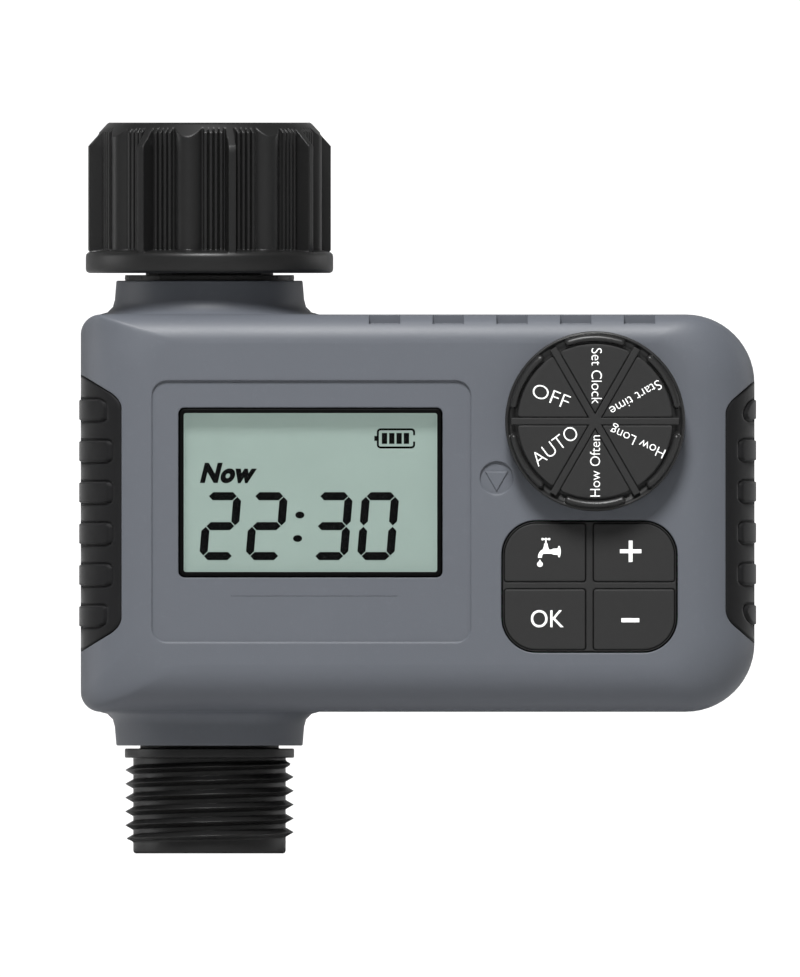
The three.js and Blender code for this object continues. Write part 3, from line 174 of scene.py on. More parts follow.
def rounded_loop(x0, z0, x1, z1, radii, corner_steps=10):
    """A rounded rectangle run anticlockwise from its lower left corner: a quarter circle at each corner."""
    centres = [
        (x0 + radii[0], z0 + radii[0], 180),
        (x1 - radii[1], z0 + radii[1], 270),
        (x1 - radii[2], z1 - radii[2], 0),
        (x0 + radii[3], z1 - radii[3], 90),
    ]
    arcs = []
    for (x, z, turn), radius in zip(centres, radii):
        angle = arc(turn, turn + 90, corner_steps)
        arcs.append(np.stack([x + radius * np.cos(angle), z + radius * np.sin(angle)], -1))
    return np.concatenate(arcs)


def rectangle(x, z, width, height, radius, corner_steps=8):
    """An outline that can be grown: a rounded rectangle about a centre."""

    def grown(grow=0.0):
        half_w, half_h = width / 2 + grow, height / 2 + grow
        radii = [max(radius + grow, 0.02)] * 4
        return rounded_loop(x - half_w, z - half_h, x + half_w, z + half_h, radii, corner_steps)

    return grown


def circle(x, z, radius, steps=48):
    """An outline that can be grown: a circle."""

    def grown(grow=0.0):
        angle = np.linspace(0, TAU, steps, endpoint=False)
        return np.stack([x + (radius + grow) * np.cos(angle), z + (radius + grow) * np.sin(angle)], -1)

    return grown


def polygon(points):
    """An outline that can be grown: each corner moves along the mean of its two edges' normals."""
    points = np.asarray(points, float)
    area = np.sum(points[:, 0] * np.roll(points[:, 1], -1) - points[:, 1] * np.roll(points[:, 0], -1))
    points = points if area > 0 else points[::-1]

    def grown(grow=0.0):
        ahead = np.roll(points, -1, 0) - points
        ahead /= np.linalg.norm(ahead, axis=1, keepdims=True)
        normal = np.stack([ahead[:, 1], -ahead[:, 0]], -1)
        before = np.roll(normal, 1, 0)
        mitre = normal + before
        mitre /= np.maximum(1 + np.sum(normal * before, 1, keepdims=True), 0.35)
        return points + grow * mitre

    return grown


def at_depth(outline, y):
    """Puts an outline drawn in X and Z at the depth y."""
    return np.insert(outline, 1, y, axis=1)


def edge_rings(build, outline, y, inwards, radius, sign, steps=4):
    """A quarter-round edge: the outline shrinks by radius (sign -1) or grows by it (sign 1) as it meets y."""
    rings = []
    for angle in arc(0, 90, steps):
        grow = sign * radius * (1 - math.sin(angle))
        depth = y + inwards * radius * (1 - math.cos(angle))
        rings.append(build.add(at_depth(outline(grow), depth)))
    return rings


def slab(build, outline, front, back, edge=0.25, back_edge=0.0, holes=(), steps=4):
    """A plate: its outline carried from front to back with a quarter-round edge at each end, less its holes."""
    fronts, backs = [], []
    for shape, sign in [(outline, -1)] + [(hole, 1) for hole in holes]:
        rings = edge_rings(build, shape, front, 1, edge, sign, steps)
        if back_edge:
            rings += edge_rings(build, shape, back, -1, back_edge, sign, steps)[::-1]
        else:
            rings.append(build.add(at_depth(shape(0), back)))
        build.grid(np.array(rings), close_columns=True)
        fronts.append(rings[0])
        backs.append(rings[-1])
    build.cap(*fronts)
    build.cap(*backs)


def turned(build, profile, centre=(0, 0, 0), axis="z", steps=96, start=0.0, sweep=360.0):
    """A closed profile of [radius, height] carried round an axis; a part turn gets flat ends."""
    profile = np.asarray(profile, float)
    whole = sweep >= 360
    angle = np.radians(start) + np.linspace(0, np.radians(sweep), steps, endpoint=not whole)
    radius, height = profile[:, 0][:, None], profile[:, 1][:, None] + 0 * angle
    across, along = radius * np.cos(angle), radius * np.sin(angle)
    order = {"z": (across, along, height), "y": (across, height, along)}[axis]
    numbers = build.add(np.stack(order, -1) + np.asarray(centre, float))
    build.grid(numbers, close_rows=True, close_columns=whole)
    if not whole:
        build.cap(numbers[:, 0])
        build.cap(numbers[:, -1])


def smooth(value, low, high):
    """0 below low, 1 above high, and an S-curve between them."""
    share = np.clip((value - low) / (high - low), 0, 1)
    return share * share * (3 - 2 * share)


class Value:
    """A node's output. Sums and products of it add Math nodes."""

    def __init__(self, finish, socket):
        self.finish = finish
        self.socket = socket

    def __add__(self, other):
        return self.finish.maths("ADD", self, other)

    def __radd__(self, other):
        return self.finish.maths("ADD", other, self)

    def __sub__(self, other):
        return self.finish.maths("SUBTRACT", self, other)

    def __rsub__(self, other):
        return self.finish.maths("SUBTRACT", other, self)

    def __mul__(self, other):
        return self.finish.maths("MULTIPLY", self, other)

    def __rmul__(self, other):
        return self.finish.maths("MULTIPLY", other, self)


class Finish:
    """A material: its constants go on the shader's own sockets, what varies is joined to them by feed()."""

    def __init__(self, name, slot, **constants):
        self.material = bpy.data.materials.new(name)
        self.material.use_nodes = True
        self.tree = self.material.node_tree
        self.shader = self.tree.nodes["Principled BSDF"]
        for socket, value in constants.items():
            self.shader.inputs[socket.replace("_", " ")].default_value = value
        self.place = self.node("TexCoord", output="Object")

    def join(self, value, socket):
        if isinstance(value, Value):
            self.tree.links.new(value.socket, socket)
        else:
            socket.default_value = value

    def node(self, kind, settings=None, sockets=None, output=0):
        """Adds a node, sets it up, fills its sockets with values or links, and gives back one output."""
        made = self.tree.nodes.new("ShaderNode" + kind)
        for key, value in (settings or {}).items():
            setattr(made, key, value)
        for key, value in (sockets or {}).items():
            self.join(value, made.inputs[key])
        return Value(self, made.outputs[output])

    def maths(self, operation, first, second=0.0):
        return self.node("Math", {"operation": operation}, {0: first, 1: second})

    def noise(self, size_mm, detail=3.0, stretch=None):
        """Noise whose lumps are about so many millimetres across, from 0 to 1."""
        where = self.place
        if stretch:
            where = self.node("Mapping", None, {0: where, "Scale": stretch})
        sockets = {"Vector": where, "Scale": 1 / (size_mm * MM), "Detail": detail}
        return self.node("TexNoise", None, sockets)

    def between(self, value, low, high):
        """0 where the value is under low, 1 where it is over high."""
        sockets = {"Value": value, "From Min": low, "From Max": high}
        return self.node("MapRange", {"interpolation_type": "SMOOTHSTEP"}, sockets)

    def colour(self, share, first, second):
        """A colour between two, by share."""
        return self.node("Mix", {"data_type": "RGBA"}, {0: share, 6: first, 7: second}, output=2)

    def worn_edges(self, radius_mm=0.35):
        """1 on sharp outside and inside edges and 0 on open faces: how far a softened normal leans from the true one."""
        soft = self.node("Bevel", {"samples": 4}, {"Radius": radius_mm * MM})
        true = self.node("NewGeometry", output="Normal")
        lean = self.node("VectorMath", {"operation": "DOT_PRODUCT"}, {0: soft, 1: true}, output="Value")
        return self.between(1 - lean, 0.02, 0.25), soft

    def feed(self, **sockets):
        for key, value in sockets.items():
            self.join(value, self.shader.inputs[key.replace("_", " ")])
        return self.material

    def bumped(self, height, depth_mm, normal=None):
        sockets = {"Height": height, "Distance": depth_mm * MM, "Strength": 1.0}
        if normal:
            sockets["Normal"] = normal
        return self.node("Bump", None, sockets)


def srgb(red, green, blue):
    """A screen colour, 0 to 255 a channel, as the linear colour a shader takes."""
    share = np.array([red, green, blue]) / 255
    linear = np.where(share > 0.04045, ((share + 0.055) / 1.055) ** 2.4, share / 12.92)
    return (*linear.tolist(), 1.0)


def scaled(colour, factor):
    return (*[min(1.0, channel * factor) for channel in colour[:3]], 1.0)


def moulded(name, slot, colour, roughness, grain_mm=0.16, grain_depth=0.006, wear=1.35, edge=0.3, **more):
    """Moulded plastic: spark-eroded grain, faint flow patches, paler and smoother where hands rub the edges."""
    made = Finish(name, slot, **more)
    grain = made.noise(grain_mm, 4)
    patches = made.noise(22, 2)
    dust = made.between(made.noise(1.1, 5), 0.56, 0.72)
    rubbed, soft = made.worn_edges(edge)
    base = made.colour(patches, scaled(colour, 0.955), scaled(colour, 1.045))
    base = made.colour(dust * 0.35, base, scaled(colour, 1.1))
    base = made.colour(rubbed * 0.5, base, scaled(colour, wear))
    rough = roughness + 0.1 * (patches - 0.5) + 0.12 * (grain - 0.5) - 0.08 * rubbed
    return made.feed(Base_Color=base, Roughness=rough, Normal=made.bumped(grain, grain_depth, soft))


def rubber(name, slot, colour, roughness=0.62):
    """Soft rubber: pored skin, a pale dusty bloom that gathers in patches, greyer on worn edges."""
    made = Finish(name, slot, Specular_IOR_Level=0.14, Sheen_Weight=0.12, Sheen_Roughness=0.35)
    pores = made.noise(0.22, 6)
    bloom = made.between(made.noise(4.5, 4), 0.45, 0.75)
    rubbed, soft = made.worn_edges(0.25)
    base = made.colour(bloom * 0.5, colour, scaled(colour, 1.5))
    base = made.colour(rubbed * 0.6, base, scaled(colour, 2.2))
    rough = roughness + 0.14 * bloom - 0.1 * rubbed + 0.1 * (pores - 0.5)
    return made.feed(Base_Color=base, Roughness=rough, Normal=made.bumped(pores, 0.012, soft))


def metal(name, slot, colour, roughness, grain=(1, 1, 14), **more):
    """Turned or rolled metal: fine drawn lines, stains, and brighter rubbed edges."""
    made = Finish(name, slot, Metallic=1.0, **more)
    lines = made.noise(0.35, 5, stretch=grain)
    stain = made.between(made.noise(2.6, 4), 0.5, 0.8)
    rubbed, soft = made.worn_edges(0.12)
    base = made.colour(stain * 0.6, colour, scaled(colour, 0.62))
    base = made.colour(rubbed * 0.6, base, scaled(colour, 1.25))
    rough = roughness + 0.2 * stain + 0.14 * (lines - 0.5) - 0.05 * rubbed
    return made.feed(Base_Color=base, Roughness=rough, Normal=made.bumped(lines, 0.004, soft))


def print_ink(name, slot, colour, roughness=0.55, **more):
    """Pad-printed ink: slightly uneven film, thinner in specks."""
    made = Finish(name, slot, **more)
    film = made.noise(0.35, 5)
    specks = made.between(made.noise(0.5, 3), 0.66, 0.78)
    base = made.colour(specks * 0.5, colour, scaled(colour, 0.72))
    rough = roughness + 0.2 * (film - 0.5)
    return made.feed(Base_Color=base, Roughness=rough, Normal=made.bumped(film, 0.004))


def display_glass(name, slot, colour):
    """The back of the liquid crystal cell: silvery green, brighter in fine sparkle, dimmer in soft patches, and glowing
    in its own colour, painted light that evens out the shadow the recess casts on it.
    """
    # The emission in the cell's own colour is painted light: the cell glows so the recess's shadow on it fades.
    made = Finish(name, slot, Coat_Weight=0.1, Coat_Roughness=0.2, Emission_Strength=1.9)
    sparkle = made.noise(0.09, 2)
    patches = made.noise(16, 2)
    base = made.colour(patches, scaled(colour, 0.94), scaled(colour, 1.05))
    base = made.colour(0.3 * sparkle, base, scaled(colour, 1.12))
    return made.feed(Base_Color=base, Roughness=0.42 + 0.16 * sparkle, Emission_Color=base,
                     Normal=made.bumped(sparkle, 0.002))


def clear_window(name, slot):
    """A clear moulded window: almost all see-through, with faint scratches that catch the light."""
    made = Finish(name, slot, Base_Color=srgb(8, 9, 9), IOR=1.49)
    scratches = made.between(made.noise(0.25, 4, stretch=(1, 1, 26)), 0.66, 0.74)
    haze = made.noise(5, 3)
    return made.feed(Alpha=0.04 + 0.02 * haze + 0.05 * scratches, Roughness=0.07 + 0.16 * scratches,
                     Normal=made.bumped(haze, 0.004))


def laminate(name, slot):
    """Circuit board: green lacquer over a glass weave, with raised copper tracks under it."""
    made = Finish(name, slot, Coat_Weight=0.3, Coat_Roughness=0.3)
    weave = made.node("TexBrick", {"offset": 0.0}, {"Vector": made.place, "Scale": 900.0}, output=1)
    tracks = made.between(made.noise(3.2, 1, stretch=(1, 1, 4)), 0.52, 0.56)
    base = made.colour(tracks, srgb(16, 74, 42), srgb(34, 112, 62))
    base = made.colour(weave * 0.25, base, srgb(50, 96, 58))
    rough = 0.38 + 0.1 * weave
    return made.feed(Base_Color=base, Roughness=rough, Normal=made.bumped(tracks + 0.2 * weave, 0.02))


def cell_wrap(name, slot):
    """The shrunk sleeve of a dry cell: dark with one copper-coloured band near its top, finely wrinkled."""
    made = Finish(name, slot, Coat_Weight=0.5, Coat_Roughness=0.15)
    height = made.node("SeparateXYZ", None, {0: made.place}, output=2)
    band = made.between(height, -0.0405, -0.0402)
    wrinkles = made.noise(1.4, 4, stretch=(1, 1, 0.25))
    base = made.colour(band, srgb(34, 36, 40), srgb(176, 112, 58))
    base = made.colour(wrinkles * 0.2, base, srgb(90, 84, 80))
    rough = 0.3 + 0.16 * wrinkles
    return made.feed(Base_Color=base, Roughness=rough, Normal=made.bumped(wrinkles, 0.03))


HOUSING = moulded("housing grey", "housing_plastic", srgb(77, 80, 86), 0.5, 0.24, 0.012,
                  Specular_IOR_Level=0.3)
FITTING = moulded("fitting black", "black_plastic", srgb(18, 18, 18), 0.42, 0.22, 0.008, 1.5,
                  Specular_IOR_Level=0.25)
DIAL = moulded("dial black", "dial_plastic", srgb(34, 34, 35), 0.5, 0.12, 0.005, 1.5, Specular_IOR_Level=0.22)
# A darker copy of the dial black for the knob: painted shade for the trough round the panels, which darkens the ridges
# and rim as well.
DIAL_SHADED_BLACK = moulded("dial black with painted recess shade", "dial_plastic", srgb(24, 24, 24), 0.38, 0.12, 0.005, 1.6,
                    Specular_IOR_Level=0.35)
PANEL = moulded("dial panel black", "dial_label", srgb(33, 33, 33), 0.6, 0.1, 0.004, 1.4,
                Specular_IOR_Level=0.18)
KEY = moulded("key black", "dial_plastic", srgb(33, 33, 33), 0.6, 0.14, 0.006, 1.5, Specular_IOR_Level=0.18)
BORDER = moulded("display border black", "black_plastic", srgb(2, 2, 2), 0.5, 0.1, 0.003, 1.6,
                 Specular_IOR_Level=0.05)
GRIP = rubber("grip rubber", "black_rubber", srgb(13, 13, 14))
SEAL = rubber("seal rubber", "black_rubber", srgb(24, 24, 25), 0.5)
INK = print_ink("white print", "dial_label", srgb(232, 233, 232))
SEGMENT = print_ink("display segment", "lcd_glass", srgb(2, 3, 3), 0.6, Specular_IOR_Level=0.05)
# The display back glows with painted light, see display_glass.
CRYSTAL = display_glass("display back painted glow", "lcd_glass", srgb(88, 100, 95))
PANEL_RIM = print_ink("display rim", "lcd_glass", srgb(8, 9, 9), 0.6, Specular_IOR_Level=0.1)
WINDOW = clear_window("display window", "clear_window")
BOARD = laminate("board green", "board_laminate")
WHITE = moulded("white moulding", "white_plastic", srgb(214, 214, 208), 0.45, 0.2, 0.006, 1.1)
ACETAL = moulded("cream acetal", "acetal", srgb(226, 222, 206), 0.36, 0.3, 0.004, 1.08)
STEEL = metal("plated steel", "steel", srgb(186, 188, 190), 0.3)
BRASS = metal("turned brass", "brass", srgb(198, 164, 96), 0.28)
CELL = cell_wrap("cell sleeve", "cell_skin")

CAD_FINISH = {
    HOUSING: "rear_housing battery_door",
    FITTING: "inlet_tube valve_body lcd_connector rotary_switch battery_tray",
    SEAL: "sealing_washer inlet_o_ring stem_o_ring outlet_o_ring dial_seal keypad_mat door_gasket",
    DIAL: "dial_shaft",
    WHITE: "gearbox_case gearbox_cover",
    ACETAL: "inlet_seat outlet_seat valve_ball valve_stem output_gear idler_gear",
    BRASS: "motor_pinion",
    STEEL: "filter_screen idler_pin motor_shaft motor_can board_screw_1 board_screw_2 board_screw_3 board_screw_4 "
    "contact_positive contact_negative contact_link door_hinge_pin "
    "housing_screw_1 housing_screw_2 housing_screw_3 housing_screw_4",
    BOARD: "circuit_board",
    PANEL_RIM: "lcd_panel",
    WINDOW: "display_window",
    CELL: "battery_left battery_right",
}


def paint_cad_nodes():
    """Gives every carried-over node the finish of its material."""
    for finish, nodes in CAD_FINISH.items():
        for node in nodes.split():
            for held in frame["nodes"][node].material_slots:
                held.material = finish


# ------------------------------------------------------------------ housing
def ring_at(lean, inset=0.0, corner_steps=14):
    """One ring of the moulded shell. At lean 0 it is the full outline; as the lean grows to a quarter turn each
    side moves in by its own rounding times (1 - cosine), and forward to the face by rounding times (1 - sine)."""
    cut, rise = 1 - math.cos(lean), 1 - math.sin(lean)
    side, top, bottom = (max(rounding - inset, 0.4) for rounding in (ROUND_SIDE, ROUND_TOP, ROUND_BOTTOM))
    x0, x1 = LEFT + inset + side * cut, RIGHT - inset - side * cut
    z0, z1 = BOTTOM + inset + bottom * cut, TOP - inset - top * cut
    rings = []
    for (x, z, turn, radius, reach) in (
        (x0, z0, 180, CORNER_LEFT, bottom),
        (x1, z0, 270, CORNER_RIGHT, bottom),
        (x1, z1, 0, CORNER_RIGHT, top),
        (x0, z1, 90, CORNER_LEFT, top),
    ):
        angle = arc(turn, turn + 90, corner_steps)
        bend = max(radius + (FACE_CORNER - radius) * cut - inset, 0.5)
        across = x + bend * (1 if turn in (180, 90) else -1) + bend * np.cos(angle)
        up = z + bend * (1 if turn in (180, 270) else -1) + bend * np.sin(angle)
        towards_side = np.cos(angle) ** 2
        rounding = side * towards_side + reach * (1 - towards_side)
        rings.append(np.stack([across, FACE + inset + rounding * rise, up], -1))
    return np.concatenate(rings)


def shell_rings(build, inset=0.0, steps=12):
    """The shell's wall from the parting plane to the flat face, as one grid of rings."""
    rings = [ring_at(lean, inset) for lean in arc(0, 90, steps)]
    first = rings[0].copy()
    first[:, 1] = -SEAM
    return build.add(np.array([first, *rings]))


def collar_half(build, edge, sign):
    """Half a neck ring: its wall leans from base to tip and spreads into the shell by a hollow quarter round."""
    base, tip = edge - sign * 0.6, edge + sign * COLLAR_HEIGHT
    hollow = [
        (COLLAR_BASE + COLLAR_FILLET * (1 - math.sin(a)),
         edge + sign * COLLAR_FILLET * (1 - math.cos(a)) - sign * 0.06)
        for a in arc(0, 90, 10)
    ]
    profile = [(COLLAR_BORE, base), (COLLAR_BASE + COLLAR_FILLET + 0.02, base), *hollow]
    profile += [(COLLAR_TIP + 0.02, tip - sign * 0.22), (COLLAR_TIP - 0.06, tip - sign * 0.05)]
    profile += [(COLLAR_TIP - 0.22, tip)]
    profile += [(COLLAR_BORE, tip)]
    turned(build, profile, steps=97, start=180.4, sweep=179.2)


COLLAR_BORE = 12.0
NOTCHES = [RIGHT - 18.4 - 10.2 * n for n in range(5)]
NOTCH_HALF, NOTCH_DEPTH, NOTCH_REACH = 2.475, 1.55, 7
DIAL_X, DIAL_Z = RIGHT - 25.5, TOP - 17.1
DIAL_BACK, DIAL_FACE = FACE - 0.4, FACE - 3.9
KEYPAD_X, KEYPAD_Z, KEYPAD_SIZE = RIGHT - 26.4, (DIAL_Z - 16.0 + BOTTOM + 9.6) / 2, (28.2, 21.2)
DISPLAY_X, DISPLAY_Z = 16.15, TOP - 28.5
RECESS_X, RECESS_Z, RECESS_SIZE = 16.3, TOP - 31.55, (51, 41.9)
BED_DEPTH = 0.4  # how deep the display's recess and the pointer's round bed lie under the face
POINTER_X, POINTER_Z = DIAL_X - 18.2 * math.cos(math.radians(30)), DIAL_Z - 9.1


def box_mesh(build, low, high):
    """A box between two corners, as a cutter or a plain core."""
    (x0, y0, z0), (x1, y1, z1) = low, high
    slab(build, lambda grow=0: rounded_loop(x0, z0, x1, z1, [0.01] * 4, 1), y0, y1, edge=0.01, steps=1)


def cylinder_mesh(build, radius, low, high):
    """An upright cylinder about the water axis."""
    turned(build, [(0, low), (radius, low), (radius, high), (0, high)], steps=96)


def carved(mesh, joined=(), removed=()):
    """A closed mesh with other closed meshes joined to it and others taken out of it."""
    held = bpy.data.objects.new("workpiece", mesh)
    bpy.context.scene.collection.objects.link(held)
    tools = []
    for operation, meshes in (("UNION", joined), ("DIFFERENCE", removed)):
        for tool_mesh in meshes:
            tool = bpy.data.objects.new("tool", tool_mesh)
            bpy.context.scene.collection.objects.link(tool)
            cut = held.modifiers.new("cut", "BOOLEAN")
            cut.operation, cut.solver, cut.object = operation, "MANIFOLD", tool
            tools.append(tool)
    finished = bpy.data.meshes.new_from_object(held.evaluated_get(bpy.context.evaluated_depsgraph_get()))
    for spare in (held, *tools):
        bpy.data.objects.remove(spare)
    return finished


# The left grip (-1) and the right grip (1): half height, middle height, width seen from the front, rib inset.
GRIP_HALF = {-1: 22.0, 1: 20.8}
GRIP_MIDDLE = {-1: TOP - 31.8, 1: TOP - 31.65}
GRIP_WIDTH = {-1: 6.4, 1: 4.5}
RIB_INSET = {-1: 1.6, 1: 2.2}
GRIP_BACK = -1.5
RIB_PITCH, RIB_HALF, RIB_CORNER, RIB_RISE, RIB_GROOVE = 6.6, 1.65, 0.75, 0.27, 1.1


def side_point(side, reach, out):
    """A point of the housing's side, reach millimetres in from the edge as the face shows it, moved out along
    the surface's normal: a straight wall, then a quarter round of the side rounding."""
    edge = LEFT if side < 0 else RIGHT
    lean = np.arccos(np.clip(1 - reach / ROUND_SIDE, -1, 1))
    x = edge - side * ROUND_SIDE * (1 - np.cos(lean)) + side * out * np.cos(lean)
    y = FACE + ROUND_SIDE * (1 - np.sin(lean)) - out * np.sin(lean)
    return x, y


def grip_width(side, height, grow=0.0):
    """How far a grip reaches in from the edge at a height: full width, then cut back on a slant to its ends."""
    width = GRIP_WIDTH[side]
    from_end = np.clip(GRIP_HALF[side] + grow - np.abs(height - GRIP_MIDDLE[side]), 0, 6)
    slant = 1.59 * np.minimum(from_end, 2.6)
    hook = 6.2 - 2.04 * (np.clip(6 - from_end, 0, 3.4) / 3.4) ** 2.6
    slant = np.where(from_end < 2.6, slant, hook) * width / 6.2 + 0.05
    return np.clip(slant, 0.05, width) + grow


def grip_solid(side, grow=0.0, low=-1.0, high=0.0, ribs=True):
    """A grip: for each height a strip from behind the parting edge round the side's rounding to the grip's width,
    pushed out by six flat-topped ribs with a fine groove round each, over an inner skin that lies deeper. How far a
    point is inside a rib is the least of its distances from the long edges, the end and the rounded corner. The
    two skins are sewn at the rim."""
    build = Build()
    half, middle = GRIP_HALF[side] + grow, GRIP_MIDDLE[side]
    height = middle + np.linspace(-half, half, 361)[:, None]
    share = np.linspace(0, 1, 56)[None, :]
    flat_share = 0.42
    round_share = np.clip((share - flat_share) / (1 - flat_share), 0, 1)
    width = grip_width(side, height, grow)
    lean_end = np.arccos(np.clip(1 - width / ROUND_SIDE, -1, 1))
    reach = ROUND_SIDE * (1 - np.cos(lean_end * round_share))
    nearest = (height - middle) / RIB_PITCH + 2.5
    rib = np.abs(nearest - np.clip(np.round(nearest), 0, 5)) * RIB_PITCH
    end_rib = np.clip(np.abs(nearest - 2.5) - 1.9, 0, 0.4) / 0.4
    tall, wide = RIB_HALF - rib, width - RIB_INSET[side] - 0.8 * end_rib - reach
    past_corner = np.hypot(np.clip(RIB_CORNER - tall, 0, None), np.clip(RIB_CORNER - wide, 0, None))
    inside = np.minimum(np.minimum(tall, wide), RIB_CORNER - past_corner)
    groove = smooth(inside, -0.4, -0.2) * smooth(-inside, -0.05, 0.1)
    raised = RIB_RISE * (smooth(inside, -0.02, 0.16) - RIB_GROOVE * groove)
    edge_fall = smooth(width - reach, 0, 0.35) * smooth(half - np.abs(height - middle), 0, 0.35)
    back = GRIP_BACK + grow
    skins = []
    for depth, outside in ((high, True), (low, False)):
        out = depth + (raised - 0.22 * (1 - edge_fall)) * (ribs and outside) + 0 * reach
        x, y = side_point(side, reach, out)
        y = y + (back - y) * (1 - np.clip(share / flat_share, 0, 1)) * (share < flat_share)
        skins.append(build.add(np.stack([x, y, height + 0 * reach], -1)))
    outer, inner = skins
    build.grid(outer)
    build.grid(inner)
    rim = [np.concatenate([s[0], s[1:, -1], s[-1, -2::-1], s[-2:0:-1, 0]]) for s in skins]
    build.grid(np.array(rim), close_columns=True)
    return build


def opening(build, shape, edge, depth):
    """The wall of an opening in the face: a quarter-round edge, then straight back. Returns its first and last ring."""
    rings = edge_rings(build, shape, FACE, 1, edge, 1) + [build.add(at_depth(shape(), FACE + depth))]
    build.grid(np.array(rings), close_columns=True)
    return rings[0], rings[-1]


def front_housing():
    """The front half: shell, recess for the display, openings for dial and keys, neck halves, slots, grip beds."""
    build = Build()
    outer, inner = shell_rings(build), shell_rings(build, WALL)
    build.grid(outer, close_columns=True)
    build.grid(inner, close_columns=True)
    build.grid(np.array([outer[0], inner[0]]), close_columns=True)
    mouths, ends = [outer[-1]], [inner[-1]]
    for shape in (circle(DIAL_X, DIAL_Z, 3.3), rectangle(KEYPAD_X, KEYPAD_Z, *KEYPAD_SIZE, 5.6, 12)):
        mouth, end = opening(build, shape, 0.15, WALL)
        mouths.append(mouth)
        ends.append(end)
    mouth, floor = opening(build, rectangle(RECESS_X, RECESS_Z, *RECESS_SIZE, 2.4, 10), 0.12, BED_DEPTH)
    mouths.append(mouth)
    window = rectangle(DISPLAY_X, DISPLAY_Z, 42.3, 27.2, 1.0)
    sill = [build.add(at_depth(window(), FACE + depth)) for depth in (BED_DEPTH, WALL)]
    build.grid(np.array(sill), close_columns=True)
    build.cap(floor, sill[0])
    ends.append(sill[-1])
    mouth, floor = opening(build, circle(POINTER_X, POINTER_Z, 2.65), 0.12, BED_DEPTH)
    mouths.append(mouth)
    build.cap(floor)
    build.cap(*mouths)
    build.cap(*ends)
    necks, slots, bores = [], Build(), Build()
    for edge, sign in ((TOP, 1), (BOTTOM, -1)):
        neck = Build()
        collar_half(neck, edge, sign)
        necks.append(neck.mesh("neck"))
    for x in NOTCHES:
        box_mesh(slots, (x - NOTCH_HALF, FACE - 1, TOP - NOTCH_DEPTH), (x + NOTCH_HALF, FACE + NOTCH_REACH, TOP + 1))
    cylinder_mesh(bores, COLLAR_BORE - 0.1, BOTTOM - 9, TOP + 9)
    beds = [grip_solid(side, 0.12, -1.15, 1.0, ribs=False).mesh("bed") for side in (-1, 1)]
    mesh = carved(build.mesh("front_shell"), necks, [slots.mesh("slots"), bores.mesh("bore"), *beds])
    place("front_shell", mesh, HOUSING, "housing", ["front_housing"], sharp=38)


# ------------------------------------------------------------------ inlet nut and outlet
NUT_TOP, NUT_CHAMFER, NUT_CHAMFER_DROP = 16.0, 16.2, 3.3 / 3.6
NUT_REPEAT, NUT_FIRST_RIB = 45, 10.8  # degrees
NUT_ROOT, NUT_BROAD, BROAD_RISE, FINE_RISE, LOBE_RISE = 16.9, 19.68, 2.7, 0.8, 1.4
FINE_FIRST, FINE_PITCH, FINE_END = 4.6, 2.75, 15  # degrees from the broad rib


def nut_pattern(angle):
    """Radius of the nut's grip at an angle in degrees from the front: a broad rib every 45 degrees, four narrow
    round-topped ribs on each side of it, and a broad low lobe midway."""
    half = NUT_REPEAT / 2
    turn = np.abs((angle - NUT_FIRST_RIB + half) % NUT_REPEAT - half)
    broad = NUT_BROAD - BROAD_RISE * smooth(turn, 1.7, 2.4)
    step = (turn - FINE_FIRST) / FINE_PITCH
    narrow = np.abs(step - np.clip(np.round(step), 0, 3)) * FINE_PITCH
    fine = NUT_ROOT + (FINE_RISE - 0.1 * narrow**2) * smooth(1.25 - narrow, 0, 0.4)
    fine = np.where(turn < FINE_END, fine, NUT_ROOT)
    lobe = NUT_ROOT + LOBE_RISE * np.cos(np.clip((turn - half) / 7.6, -1, 0) * math.pi / 2) ** 0.8
    return np.maximum(np.maximum(broad, fine), lobe * (turn > FINE_END - 0.1))


